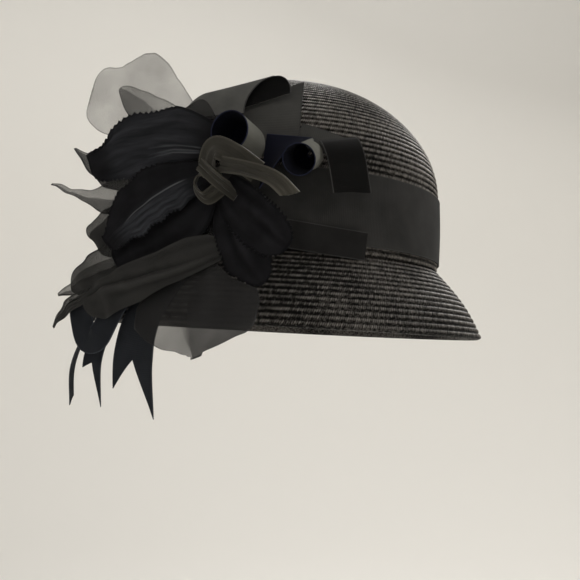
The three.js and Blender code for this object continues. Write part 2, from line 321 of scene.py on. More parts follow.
class SharedEffects:
    """Shader node groups that more than one finish uses, each built once."""

    NOISE_RANGE = (0.3, 0.7)
    LINE_SOFT_FROM = 0.7

    def __init__(self) -> None:
        """Build the groups."""
        self.mottle = self._mottle()
        self.ribs = self._ribs()
        self.edge_line = self._edge_line()

    @staticmethod
    def _group(name: str, inputs: dict[str, str], output: str) -> tuple[NodeSheet, Any, Socket]:
        """An empty group.

        Args:
            name: The group's name.
            inputs: Socket types by input name, without the words that all types start with.
            output: The name of its one output, a number.

        Returns:
            The sheet to build on, the group's inputs by name, and the socket that takes its result.
        """
        tree = bpy.data.node_groups.new(name, "ShaderNodeTree")
        for label, kind in inputs.items():
            tree.interface.new_socket(label, in_out="INPUT", socket_type="NodeSocket" + kind)
        tree.interface.new_socket(output, in_out="OUTPUT", socket_type="NodeSocketFloat")
        sheet = NodeSheet(tree)
        return sheet, sheet.add("NodeGroupInput").outputs, sheet.add("NodeGroupOutput").inputs[0]

    def _mottle(self) -> Tree:
        """Soft cloudy change over the surface, from Low to High.

        Returns:
            The group.
        """
        numbers = dict.fromkeys(("Scale", "Detail", "Low", "High"), "Float")
        sheet, given, result = self._group("mottle", {"Place": "Vector", **numbers}, "Value")
        sizes = {"Vector": given["Place"], "Scale": given["Scale"], "Detail": given["Detail"]}
        noise = sheet.add("ShaderNodeTexNoise", sizes).outputs[0]
        sheet.feed(result, sheet.span(noise, *self.NOISE_RANGE, given["Low"], given["High"]))
        return sheet.tree

    def _ribs(self) -> Tree:
        """Ribs that cross a ribbon, from the way along it in millimetres.

        Returns:
            The group.
        """
        sheet, given, result = self._group("ribs", {"Weave": "Vector", "Pitch": "Float"}, "Height")
        turns = sheet.math("DIVIDE", sheet.part(given["Weave"], 1), given["Pitch"])
        wave = sheet.math("SINE", sheet.math("MULTIPLY", turns, 2 * math.pi))
        sheet.feed(result, sheet.math("MULTIPLY_ADD", wave, 0.5, 0.5))
        return sheet.tree

    def _edge_line(self) -> Tree:
        """A line along the cloth's edge: 1 at the edge and 0 past the line's width.

        Returns:
            The group.
        """
        sheet, given, result = self._group("edge_line", {"Weave": "Vector", "Width": "Float"}, "Mask")
        share = sheet.math("DIVIDE", sheet.part(given["Weave"], 2), given["Width"])
        sheet.feed(result, sheet.span(share, self.LINE_SOFT_FROM, 1.0, 1.0, 0.0))
        return sheet.tree


@dataclass(frozen=True)
class Cloud:
    """A soft cloudy change over a surface: how fine it is, and the values that it runs between."""

    scale: float
    detail: float
    low: float = 0.0
    high: float = 1.0


class Palette(NodeSheet):
    """The nodes of one material, with its shader and the shared effects at hand."""

    def __init__(self, tree: Tree, effects: SharedEffects) -> None:
        """Find the shader and the places on the piece.

        Args:
            tree: The material's own tree.
            effects: The shared effects.
        """
        super().__init__(tree)
        self.effects = effects
        self.inputs = tree.nodes["Principled BSDF"].inputs
        self.place = self.add("ShaderNodeTexCoord").outputs["Object"]

    def use(self, group: Tree, **inputs: Any) -> Socket:
        """The output of a shared effect.

        Args:
            group: The effect.
            inputs: Its values in this material, by input name.

        Returns:
            The effect's one output.
        """
        node = self.add("ShaderNodeGroup", node_tree=group)
        for label, value in inputs.items():
            self.feed(node.inputs[label], value)
        return node.outputs[0]

    def cloud(self, cloud: Cloud, place: Socket | None = None) -> Socket:
        """A cloudy change over the surface, or over another place where one is given."""
        sizes = {"Scale": cloud.scale, "Detail": cloud.detail, "Low": cloud.low, "High": cloud.high}
        return self.use(self.effects.mottle, Place=place or self.place, **sizes)

    def ribs(self, pitch: float) -> Socket:
        """Ribs across the cloth, a pitch apart."""
        return self.use(self.effects.ribs, Weave=self.vector("weave"), Pitch=pitch)

    def edge(self, width: float) -> Socket:
        """A line of a width along the cloth's edge."""
        return self.use(self.effects.edge_line, Weave=self.vector("weave"), Width=width)

    def dress(self, colour: Socket, rough: Any, height: Socket, depth: float) -> None:
        """Feed the shader.

        Args:
            colour: Its colour.
            rough: Its roughness.
            height: The height of its relief.
            depth: The depth of that relief in metres.
        """
        self.feed(self.inputs["Base Color"], colour)
        self.feed(self.inputs["Roughness"], rough)
        bump = self.add("ShaderNodeBump", {"Height": height, "Distance": depth, "Strength": 1.0})
        self.feed(self.inputs["Normal"], bump.outputs[0])


@dataclass(frozen=True)
class Finish:
    """What every finish has: a name, the record's slot, a colour, its gloss and its sheen."""

    cloth: Cloth
    slot: Slot
    colour: Colour
    roughness: float
    gloss: float
    sheen: float = 0.0
    sheen_rough: float = 0.5
    sheen_colour: Colour = (1.0, 1.0, 1.0)

    def material(self, effects: SharedEffects) -> Material:
        """The finish as a material.

        Args:
            effects: The shared effects that it is painted with.

        Returns:
            A new material, with its even values set and its changing ones painted.
        """
        material = bpy.data.materials.new(self.cloth.value)
        material.use_nodes = True
        palette = Palette(material.node_tree, effects)
        even = {
            "Base Color": self.tint(1.0),
            "Roughness": self.roughness,
            "Specular IOR Level": self.gloss,
            "Sheen Weight": self.sheen,
            "Sheen Roughness": self.sheen_rough,
            "Sheen Tint": tinted(self.sheen_colour),
        }
        for label, value in even.items():
            palette.inputs[label].default_value = value
        self.paint(palette)
        return material

    def tint(self, factor: float) -> tuple[float, ...]:
        """The finish's colour made lighter or darker by a factor."""
        return tinted(self.colour, factor)

    def paint(self, palette: Palette) -> None:
        """Paint what changes over the surface."""
        raise NotImplementedError


@dataclass(frozen=True)
class StrawFinish(Finish):
    """Dyed straw braid: each splint has its own tone and a low gloss."""

    light: float = 9.0
    dark: float = 0.05
    fleck: Cloud = Cloud(900.0, 2.0, -0.2, 0.25)
    fading: Cloud = Cloud(28.0, 1.0, -0.12, 0.12)
    fleck_depth: float = 0.00006
    gloss_from: float = 0.5
    shadow_rough: float = 0.4

    def paint(self, palette: Palette) -> None:
        """Paint the straw.

        Args:
            palette: The nodes of its material.
        """
        fleck = palette.cloud(self.fleck)
        # The tone mark is the splints' own random tone, and on the shell it is painted shade in the grooves
        # and inside
        tone = palette.math("ADD", palette.value("tone"), fleck)
        tone = palette.between(palette.math("ADD", tone, palette.cloud(self.fading)), 0.0, 1.0)
        colour = palette.blend(tone, self.tint(self.dark), self.tint(self.light))
        rough = palette.span(tone, 0.0, self.gloss_from, self.roughness + self.shadow_rough, self.roughness)
        palette.dress(colour, rough, fleck, self.fleck_depth)


@dataclass(frozen=True)
class RibbonFinish(Finish):
    """Ribbed ribbon with a paler woven edge."""

    sheen: float = 0.02
    # The pale colour and the dark tint are partly the ribbon's two sides, partly painted light and painted
    # shade
    pale: Colour = (0.08, 0.08, 0.08)
    dark: float = 0.2
    even_face: float = 0.5
    rib_pitch: float = 0.9
    rib_depth: float = 0.000025
    rib_shade: Pair = (0.96, 1.02)
    edge_width: float = 0.5
    edge_light: float = 1.9
    wear: Cloud = Cloud(70.0, 3.0)
    wear_shade: Pair = (0.8, 1.2)
    wear_rough: float = 0.06
    lint: Cloud = Cloud(1400.0, 1.0)
    lint_share: float = 0.25

    def paint(self, palette: Palette) -> None:
        """Paint the ribbon, darker or paler by its face mark: partly the side of the ribbon that shows,
        partly painted shade and painted light.

        Args:
            palette: The nodes of its material.
        """
        ribs, wear = palette.ribs(self.rib_pitch), palette.cloud(self.wear)
        face = palette.value("face")
        # Below the even face the colour darkens as painted shade; above it turns to the pale side and painted
        # light
        lit = palette.span(face, 0.0, self.even_face, 0.0, 1.0)
        body = palette.blend(lit, self.tint(self.dark), self.tint(1.0))
        paler = palette.span(face, self.even_face, 1.0, 0.0, 1.0)
        turned = palette.blend(paler, body, tinted(self.pale))
        edged = palette.blend(palette.edge(self.edge_width), turned, self.tint(self.edge_light))
        weft = palette.between(ribs, *self.rib_shade)
        shade = palette.math("MULTIPLY", weft, palette.between(wear, *self.wear_shade))
        rough = palette.between(wear, self.roughness - self.wear_rough, self.roughness + self.wear_rough)
        height = palette.math("MULTIPLY_ADD", palette.cloud(self.lint), self.lint_share, ribs)
        palette.dress(palette.scale(edged, shade), rough, height, self.rib_depth)


@dataclass(frozen=True)
class VelvetFinish(Finish):
    """Short pile that drinks the light, with brushed streaks, a paler panel that is partly painted sheen, and
    painted pleat highlights.
    """

    sheen: float = 0.12
    sheen_rough: float = 0.35
    sheen_colour: Colour = (0.55, 0.57, 0.62)
    # The panel colour is partly the cloth's paler tone and partly painted sheen; pleat highlights take the
    # vein colour
    panel: Colour = (0.05, 0.053, 0.062)
    panel_dark: float = 0.45
    vein: Colour = (0.13, 0.135, 0.145)
    vein_width: float = 0.4
    rim_width: float = 1.5
    rim_shade: float = 0.7
    painted_fold_shade: Pair = (0.6, 1.35)
    brushing: Place = (1.0, 0.12, 0.0)
    streak: Cloud = Cloud(0.55, 3.0)
    streak_rough: float = 0.12
    crush: Cloud = Cloud(120.0, 2.0)
    crush_shade: Pair = (0.8, 1.2)
    pile: Cloud = Cloud(2600.0, 1.0)
    pile_share: float = 0.4
    pile_depth: float = 0.00007

    def paint(self, palette: Palette) -> None:
        """Paint the velvet, with its panel of partly painted sheen, the painted highlights of its pleats and
        its vein where the petal marks them.

        Args:
            palette: The nodes of its material.
        """
        weave, marked = palette.vector("weave"), palette.value("panel")
        streak = palette.cloud(self.streak, palette.stretch(weave, self.brushing))
        crushed, raised = (self.tint(factor) for factor in self.crush_shade)
        ground = palette.blend(palette.cloud(self.crush), crushed, raised)
        panel = palette.blend(streak, tinted(self.panel, self.panel_dark), tinted(self.panel))
        body = palette.blend(marked, ground, panel)
        # Painted highlights: pleat lines, marked above 1, take the pale vein colour
        pleat_highlight = palette.blend(palette.span(marked, 1.0, 2.0, 0.0, 1.0), body, tinted(self.vein))
        across = palette.math("ABSOLUTE", palette.part(weave, 0))
        line = palette.span(across, self.vein_width / 2, self.vein_width, 1.0, 0.0)
        line = palette.math("MULTIPLY", line, palette.value("vein"))
        lined = palette.blend(line, pleat_highlight, tinted(self.vein))
        rim = palette.between(palette.edge(self.rim_width), 1.0, self.rim_shade)
        # Painted shade and light: darker in the fold valleys and lighter on the ridges
        shade = palette.math("MULTIPLY", rim, palette.between(palette.value("fold"), *self.painted_fold_shade))
        rough = palette.between(streak, self.roughness - self.streak_rough, self.roughness)
        height = palette.math("MULTIPLY_ADD", palette.cloud(self.pile), self.pile_share, streak)
        palette.dress(palette.scale(lined, shade), rough, height, self.pile_depth)


@dataclass(frozen=True)
class OrganzaFinish(Finish):
    """Sheer cloth: a see-through ground with fine threads, a denser hem and painted shade and light on its
    folds.
    """

    sheen: float = 0.1
    cover: float = 0.27
    uneven: Cloud = Cloud(60.0, 2.0, -0.05, 0.05)
    hem_cover: float = 0.16
    hem_width: float = 0.8
    double_cover: float = 0.24
    thread_pitch: float = 0.35
    thread_cover: float = 0.05
    thread_depth: float = 0.00003
    thread_shade: Pair = (0.8, 1.25)
    painted_fold_shade: Pair = (0.45, 1.6)

    def paint(self, palette: Palette) -> None:
        """Paint the organza, and set how much it covers.

        Args:
            palette: The nodes of its material.
        """
        threads = palette.ribs(self.thread_pitch)
        gap, thread = (self.tint(factor) for factor in self.thread_shade)
        fold = palette.between(palette.value("fold"), *self.painted_fold_shade)
        cover = palette.math("MULTIPLY_ADD", threads, self.thread_cover, self.cover)
        cover = palette.math("ADD", palette.cloud(self.uneven), cover)
        cover = palette.math("MULTIPLY_ADD", palette.value("double"), self.double_cover, cover)
        cover = palette.math("MULTIPLY_ADD", palette.edge(self.hem_width), self.hem_cover, cover)
        palette.feed(palette.inputs["Alpha"], cover)
        # Painted shade and light: the fold mark darkens the valleys and lightens the ridges
        colour = palette.scale(palette.blend(threads, gap, thread), fold)
        palette.dress(colour, self.roughness, threads, self.thread_depth)


@dataclass(frozen=True)
class SilkFinish(Finish):
    """Soft silk with long slubs and fine creases."""

    sheen: float = 0.15
    drawing: Place = (1.6, 0.1, 0.0)
    slub: Cloud = Cloud(1.0, 3.0)
    slub_depth: float = 0.00006
    slub_dark: float = 0.8
    slub_rough: float = 0.08
    fading: Cloud = Cloud(90.0, 2.0)
    fading_shade: Pair = (0.75, 1.25)
    edge_width: float = 0.8
    edge_light: float = 1.5
    painted_light_and_shade: Pair = (0.25, 1.75)

    def paint(self, palette: Palette) -> None:
        """Paint the silk.

        Args:
            palette: The nodes of its material.
        """
        slub = palette.cloud(self.slub, palette.stretch(palette.vector("weave"), self.drawing))
        dull, bright = (self.tint(factor) for factor in self.fading_shade)
        body = palette.blend(palette.cloud(self.fading), dull, bright)
        streaked = palette.blend(slub, self.tint(self.slub_dark), body)
        edged = palette.blend(palette.edge(self.edge_width), streaked, self.tint(self.edge_light))
        # Painted light and shade: a face mark above 0.5 lightens the silk and one below darkens it
        colour = palette.scale(edged, palette.between(palette.value("face"), *self.painted_light_and_shade))
        rough = palette.between(slub, self.roughness + self.slub_rough, self.roughness - self.slub_rough)
        palette.dress(colour, rough, slub, self.slub_depth)


# Each row gives the cloth, the slot, the colour, the roughness and the gloss
FINISHES = (
    StrawFinish(Cloth.STRAW, Slot.STRAW, (0.027, 0.025, 0.023), 0.34, 0.14),
    RibbonFinish(Cloth.GROSGRAIN, Slot.GROSGRAIN, (0.026, 0.0258, 0.026), 0.85, 0.03,
                 pale=(0.12, 0.12, 0.116)),
    RibbonFinish(Cloth.NAVY, Slot.NAVY, (0.012, 0.0135, 0.025), 0.9, 0.0,
                 pale=(0.12, 0.12, 0.108), dark=0.5),
    RibbonFinish(Cloth.STREAMER, Slot.GROSGRAIN, (0.0235, 0.026, 0.0315), 0.85, 0.03),
    VelvetFinish(Cloth.VELVET, Slot.VELVET, (0.014, 0.014, 0.0162), 0.95, 0.03),
    OrganzaFinish(Cloth.SHEER, Slot.ORGANZA, (0.07, 0.07, 0.07), 0.7, 0.1, cover=0.25),
    OrganzaFinish(Cloth.SOFT, Slot.ORGANZA, (0.03, 0.03, 0.031), 0.7, 0.1, cover=0.45),
    OrganzaFinish(Cloth.DENSE, Slot.ORGANZA, (0.028, 0.0278, 0.0275), 0.7, 0.1, cover=0.68),
    SilkFinish(Cloth.SILK, Slot.SILK, (0.04, 0.0375, 0.031), 0.6, 0.15),
)


class Workroom:
    """What the pieces are made with: finished materials and the calls that set a piece in the frame."""

    def __init__(self) -> None:
        """Make every finish's material once."""
        effects = SharedEffects()
        self.materials = {finish.cloth: finish.material(effects) for finish in FINISHES}
        self.slots = {finish.cloth: finish.slot for finish in FINISHES}

    @staticmethod
    def mesh_piece(name: str, points: np.ndarray, faces: list[tuple[int, ...]]) -> Piece:
        """A mesh object from points and faces.

        Args:
            name: The piece's name.
            points: Places in metres, one row each.
            faces: Corner numbers of each face.

        Returns:
            The object, in the scene.
        """
        mesh = bpy.data.meshes.new(name)
        mesh.from_pydata(points.tolist(), [], faces)
        mesh.update()
        piece = bpy.data.objects.new(name, mesh)
        bpy.context.scene.collection.objects.link(piece)
        return piece

    @staticmethod
    def mark(piece: Piece, name: str, kind: str, values: np.ndarray) -> None:
        """Write an attribute on the points of a piece.

        Args:
            piece: The piece.
            name: The attribute's name.
            kind: Its type.
            values: One for each point.
        """
        field = {"FLOAT_VECTOR": "vector"}.get(kind, "value")
        attribute = piece.data.attributes.new(name, kind, "POINT")
        attribute.data.foreach_set(field, np.asarray(values).ravel())

    def mark_faces(self, piece: Piece, name: str, front: np.ndarray, back: np.ndarray | None = None) -> None:
        """Write a number on the two faces of a sheet, the same on both where one is given."""
        self.mark(piece, name, "FLOAT", np.stack([front, front if back is None else back]))

    @staticmethod
    def smooth(piece: Piece) -> None:
        """Shade a piece smooth, apart from its sharp edges."""
        piece.data.shade_smooth()
        piece.data.set_sharp_from_angle(angle=SHARP_ANGLE)

    def settle(self, piece: Piece, node: str, cloth: Cloth) -> None:
        """Dress a piece and let it ride on the hat and stand for its node.

        Args:
            piece: The piece.
            node: The node that it stands for.
            cloth: The cloth that it is made of.
        """
        if not piece.data.materials:
            piece.data.materials.append(self.materials[cloth])
        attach(piece, BODY)
        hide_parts(node)
        LOG.info("%s: %d faces for %s", piece.name, len(piece.data.polygons), node)


@dataclass(frozen=True)
class PlaitNodes:
    """The Geometry Nodes tree that lays straw splints along the braid's rows."""

    pitch: float = 1.0
    length: float = 2.35
    width: float = 0.75
    height: float = 0.5
    slant: float = 62.0
    seed: int = 7
    tones: Pair = (0.35, 0.85)
    sizes: Pair = (0.88, 1.12)
    facets: int = 4

    def inputs(self, material: Material) -> dict[str, tuple[str, Any]]:
        """The tree's named inputs.

        Args:
            material: The straw's material, for the input that takes it.

        Returns:
            The socket type and the value of each input, by name.
        """
        return {
            "Darkest": ("NodeSocketFloat", self.tones[0]),
            "Lightest": ("NodeSocketFloat", self.tones[1]),
            "Splint pitch": ("NodeSocketFloat", self.pitch * MM),
            "Splint size": ("NodeSocketVector", (self.length * MM, self.width * MM, self.height * MM)),
            "Slant": ("NodeSocketFloat", math.radians(self.slant)),
            "Seed": ("NodeSocketInt", self.seed),
            "Straw": ("NodeSocketMaterial", material),
        }

    def tree(self, material: Material) -> Tree:
        """Build the tree.

        Args:
            material: The straw's material, for the tree's input.

        Returns:
            A tree that adds splints to a shell whose rows are marked.
        """
        tree = bpy.data.node_groups.new("straw_plait", "GeometryNodeTree")
        tree.interface.new_socket("Shell", in_out="INPUT", socket_type="NodeSocketGeometry")
        for label, (kind, _) in self.inputs(material).items():
            tree.interface.new_socket(label, in_out="INPUT", socket_type=kind)
        tree.interface.new_socket("Braid", in_out="OUTPUT", socket_type="NodeSocketGeometry")
        sheet = NodeSheet(tree)
        given = sheet.add("NodeGroupInput").outputs
        rows = self._rows(sheet, given)
        splints = self._splints(sheet, given, rows)
        joined = sheet.add("GeometryNodeJoinGeometry")
        for part in (given["Shell"], splints):
            tree.links.new(part, joined.inputs[0])
        solid = sheet.add("GeometryNodeRealizeInstances", {0: joined.outputs[0]})
        straw = {"Geometry": solid.outputs[0], "Material": given["Straw"]}
        dressed = sheet.add("GeometryNodeSetMaterial", straw)
        sheet.add("NodeGroupOutput", {0: dressed.outputs[0]})
        return tree

    @staticmethod
    def _named(sheet: NodeSheet, name: str, kind: str) -> Socket:
        """An attribute of the shell."""
        return sheet.add("GeometryNodeInputNamedAttribute", {0: name}, data_type=kind).outputs[0]

    def _rows(self, sheet: NodeSheet, given: Any) -> Node:
        """Points at even steps along the rows that the shell marks.

        Args:
            sheet: The sheet to build on.
            given: The tree's inputs by name.

        Returns:
            The node that gives the points.
        """
        marked = self._named(sheet, "plait_line", "BOOLEAN")
        lines = sheet.add("GeometryNodeMeshToCurve", {0: given["Shell"], 1: marked})
        steps = {"Curve": lines.outputs[0], "Length": given["Splint pitch"]}
        return sheet.add("GeometryNodeCurveToPoints", steps, mode="LENGTH")

    def _splints(self, sheet: NodeSheet, given: Any, rows: Node) -> Socket:
        """Splints on the points, slanted one way and then the other.

        Args:
            sheet: The sheet to build on.
            given: The tree's inputs by name.
            rows: The node of the points.

        Returns:
            The splints, each with its tone.
        """
        outward = self._named(sheet, "outward", "FLOAT_VECTOR")
        lean = sheet.math("MULTIPLY", self._named(sheet, "slant", "FLOAT"), given["Slant"])
        along = sheet.add("FunctionNodeAlignRotationToVector", {"Vector": rows.outputs["Tangent"]}, axis="X")
        facing = sheet.add(
            "FunctionNodeAlignRotationToVector",
            {"Rotation": along.outputs[0], "Vector": outward},
            axis="Z",
            pivot_axis="X",
        )
        spin = sheet.add("FunctionNodeAxisAngleToRotation", {"Axis": (0, 0, 1), "Angle": lean})
        turned = sheet.add(
            "FunctionNodeRotateRotation",
            {"Rotation": facing.outputs[0], "Rotate By": spin.outputs[0]},
            rotation_space="LOCAL",
        )
        faceted = {"Segments": self.facets, "Rings": self.facets // 2, "Radius": 0.5}
        lens = sheet.add("GeometryNodeMeshUVSphere", faceted).outputs[0]
        scaled = {"Geometry": lens, "Scale": given["Splint size"]}
        sized = sheet.add("GeometryNodeTransform", scaled).outputs[0]
        flat = sheet.add("GeometryNodeSetShadeSmooth", {"Geometry": sized, "Shade Smooth": False})
        spread = {2: self.sizes[0], 3: self.sizes[1], "Seed": given["Seed"]}
        size = sheet.add("FunctionNodeRandomValue", spread, data_type="FLOAT")
        laid = sheet.add(
            "GeometryNodeInstanceOnPoints",
            {
                "Points": rows.outputs["Points"],
                "Instance": flat.outputs[0],
                "Rotation": turned.outputs[0],
                "Scale": size.outputs[1],
            },
        )
        ends = {2: given["Darkest"], 3: given["Lightest"], "Seed": given["Seed"]}
        tone = sheet.add("FunctionNodeRandomValue", ends, data_type="FLOAT")
        toned = sheet.add(
            "GeometryNodeStoreNamedAttribute",
            {"Geometry": laid.outputs[0], "Name": "tone", "Value": tone.outputs[1]},
            data_type="FLOAT",
            domain="INSTANCE",
        )
        return toned.outputs[0]


@dataclass
class Ring:
    """One round of a straw shell: half width, height, its outward slope, its lift, its plait line and its
    tone.
    """

    half_width: float
    height: float
    slope: Pair
    lift: float = 0.0
    slant: float = 0.0
    # Painted shade: a tone of 0 colours the shell under the splints nearly black in the grooves between rows
    tone: float = 0.0


@dataclass
class StrawBody:
    """The crown and brim: sewn rows of plaited straw, as shells with splints laid on their rows."""

    room: Workroom
    plait: PlaitNodes = PlaitNodes()
    # Painted light and shade: the crown's splints run lighter and the brim's are darkened as if in shade
    crown_lit_tones: Pair = (0.34, 1.0)
    brim_shaded_tones: Pair = (0.22, 0.7)
    segments: int = 128
    crown_rows: int = 53
    brim_rows: int = 14
    relief: float = 1.3
    inset: float = 1.05
    inner_rings: int = 26
    # Painted shade: the inside of each shell takes a low tone, as if in shadow
    inside_painted_shade: float = 0.12
    inside_groove: float = 0.25
    crown_steps: int = 60
    brim_steps: int = 40
    pole_hole: float = 1.0
    pole_rise: float = 0.3
    seam_drop: float = 2.6
    seam_lap: Pair = (-2.45, -1.9)
    seen_below: float = 5.0
    seen_above: float = 34.0
    row_steps: tuple[Triple, ...] = (
        (0.0, 0.0, 0.0),
        (0.05, 0.85, 0.0),
        (0.45, 0.95, 1.0),
        (0.8, 0.35, 0.0),
    )

    @staticmethod
    def profile_ring(profile: np.ndarray, share: float) -> Ring:
        """A plain ring on a profile.

        Args:
            profile: Half widths and heights from the bottom up.
            share: The share of the way along it.

        Returns:
            The ring, with no lift and no plait line.
        """
        travel = travelled(profile)
        tangent = unit(np.gradient(profile, travel, axis=0))
        way = travel[-1] * share
        values = [np.interp(way, travel, column) for column in (*profile.T, *tangent.T)]
        half_width, height, wider, higher = values
        return Ring(half_width, height, (higher, -wider))

    def outside_rings(self, profile: np.ndarray, rows: int, hidden: Callable[[float], bool]) -> list[Ring]:
        """Rings of the ridged outside of a shell.

        Args:
            profile: Half widths and heights from the bottom up.
            rows: How many rows of braid it has.
            hidden: Whether the straw at a height is covered, where plain rows will do.

        Returns:
            The rings from the bottom up.
        """
        rings = []
        for row in range(rows):
            for step, lift, slant in self.row_steps:
                ring = self.profile_ring(profile, (row + step) / rows)
                covered = hidden(ring.height)
                if covered and slant < 1 and step > 0:
                    continue
                rise = self.relief * lift - self.inset
                rings.append(replace(ring, lift=rise, slant=0.0 if covered else slant))
        return rings

    def inside_rings(self, profile: np.ndarray, count: int) -> list[Ring]:
        """Rings of the plain inside of a shell.

        Args:
            profile: Half widths and heights from the bottom up.
            count: How many rows of braid it has.

        Returns:
            The rings from the top down.
        """
        rings = []
        for index in range(2 * count):
            ring = self.profile_ring(profile, 1 - index / (2 * count - 1))
            lift = self.inside_groove * (index % 2) - HAT.straw
            rings.append(replace(ring, lift=lift, tone=self.inside_painted_shade))
        return rings

    def seam_rings(self) -> list[Ring]:
        """Rings of the crown's lowest row, which laps inside the brim where the two are sewn together.

        Returns:
            The rings from the inside out.
        """
        inner, outer = self.seam_lap
        places = ((-self.seam_drop, inner), (-self.seam_drop, outer), (-HAT.gap, outer))
        return [Ring(HAT.headline_half_width, height, (1.0, 0.0), lift) for height, lift in places]

    def shell(self, name: str, rings: list[Ring], poles: bool, split: int) -> Piece:
        """A closed oval shell from its rings.

        Args:
            name: The piece's name.
            rings: The outside from the bottom up, then the inside from the top down.
            poles: Whether outside and inside each close at the top, as on the crown.
            split: The number of outside rings.

        Returns:
            The shell with its row marks.
        """
        angle = 2 * np.pi * np.arange(self.segments) / self.segments
        turn = np.stack([np.cos(angle), np.sin(angle)], -1)
        points, outward, slants, tones = [], [], [], []
        for ring in rings:
            place, normal = self._round(ring, turn)
            points.append(place)
            outward.append(normal)
            slants.append(np.full(len(angle), ring.slant))
            tones.append(np.full(len(angle), ring.tone))
        faces = self._bands(len(rings), poles, split)
        if poles:
            top = HAT.dome_top - self.inset
            points.append(np.array([[0, 0, top + self.pole_rise], [0, 0, HAT.dome_top - HAT.straw]]))
            outward.append(np.array([UP, UP]))
            slants.append(np.zeros(2))
            tones.append(np.array([0, self.inside_painted_shade]))
            faces += self._fans(len(rings), split)
        piece = self.room.mesh_piece(name, np.concatenate(points) * MM, faces)
        piece.data.shade_smooth()
        lines = np.concatenate(slants)
        self.room.mark(piece, "outward", "FLOAT_VECTOR", np.concatenate(outward))
        self.room.mark(piece, "slant", "FLOAT", lines)
        self.room.mark(piece, "plait_line", "BOOLEAN", lines != 0)
        self.room.mark(piece, "tone", "FLOAT", np.concatenate(tones))
        return piece

    @staticmethod
    def _round(ring: Ring, turn: np.ndarray) -> tuple[np.ndarray, np.ndarray]:
        """Points and outward directions all the way round one ring.

        Args:
            ring: The ring.
            turn: Cosine and sine of each bearing.

        Returns:
            The points and the directions.
        """
        out, up = ring.slope
        flat = np.ones(len(turn))
        normal = unit(np.column_stack([out * turn[:, 0], out * turn[:, 1] / HAT.oval, up * flat]))
        base = np.column_stack([turn[:, 0], HAT.oval * turn[:, 1]]) * ring.half_width
        return np.column_stack([base, ring.height * flat]) + ring.lift * normal, normal

    def _bands(self, count: int, poles: bool, split: int) -> list[tuple[int, ...]]:
        """Faces between neighbouring rings, all the way round the wall of the shell.

        Args:
            count: How many rings there are.
            poles: Whether the shell closes at the top.
            split: The number of outside rings.

        Returns:
            Corner numbers of each face.
        """
        faces = []
        for first in range(count):
            second = (first + 1) % count
            if poles and first == split - 1:
                continue
            for index in range(self.segments):
                after = (index + 1) % self.segments
                near, far = first * self.segments, second * self.segments
                faces.append((near + index, near + after, far + after, far + index))
        return faces

    def _fans(self, count: int, split: int) -> list[tuple[int, ...]]:
        """Faces that close the outside and the inside at the top.

        Args:
            count: How many rings there are.
            split: The number of outside rings.

        Returns:
            Corner numbers of each face.
        """
        outer, inner = count * self.segments, count * self.segments + 1
        top, under = (split - 1) * self.segments, split * self.segments
        faces = []
        for index in range(self.segments):
            after = (index + 1) % self.segments
            faces.append((top + index, top + after, outer))
            faces.append((under + after, under + index, inner))
        return faces

    def plaited(self, piece: Piece, tree: Tree, tones: Pair) -> None:
        """Run the plait tree on a shell, with its range of tones, and keep the result as its plain mesh.

        Args:
            piece: The shell.
            tree: The plait tree.
            tones: The darkest and the lightest tone.
        """
        modifier = piece.modifiers.new("plait", "NODES")
        modifier.node_group = tree
        given = (item for item in tree.interface.items_tree if item.in_out == "INPUT")
        sockets = {item.name: item.identifier for item in given}
        plait = replace(self.plait, tones=tones)
        for label, (_, value) in plait.inputs(self.room.materials[Cloth.STRAW]).items():
            modifier[sockets[label]] = value
        graph = bpy.context.evaluated_depsgraph_get()
        made = bpy.data.meshes.new_from_object(piece.evaluated_get(graph), depsgraph=graph)
        piece.modifiers.remove(modifier)
        plain = piece.data
        piece.data = made
        bpy.data.meshes.remove(plain)
        made.name = piece.name

    def build(self) -> None:
        """Make the crown and the brim."""
        tree = self.plait.tree(self.room.materials[Cloth.STRAW])
        line = HAT.crown_profile(self.crown_steps)
        line = line[line[:, 0] > self.pole_hole]
        outer = self.outside_rings(line, self.crown_rows, lambda z: self.seen_below < z < self.seen_above)
        rings = outer + self.inside_rings(line, self.inner_rings) + self.seam_rings()
        crown = self.shell("crown_braid", rings, True, len(outer))
        self.plaited(crown, tree, self.crown_lit_tones)
        self.room.settle(crown, "crown", Cloth.STRAW)
        line = HAT.brim_profile(np.linspace(1, 0, self.brim_steps))
        outer = self.outside_rings(line, self.brim_rows, lambda z: False)
        rings = outer + self.inside_rings(line, self.brim_rows)
        brim = self.shell("brim_braid", rings, False, len(outer))
        self.plaited(brim, tree, self.brim_shaded_tones)
        self.room.settle(brim, "brim", Cloth.STRAW)


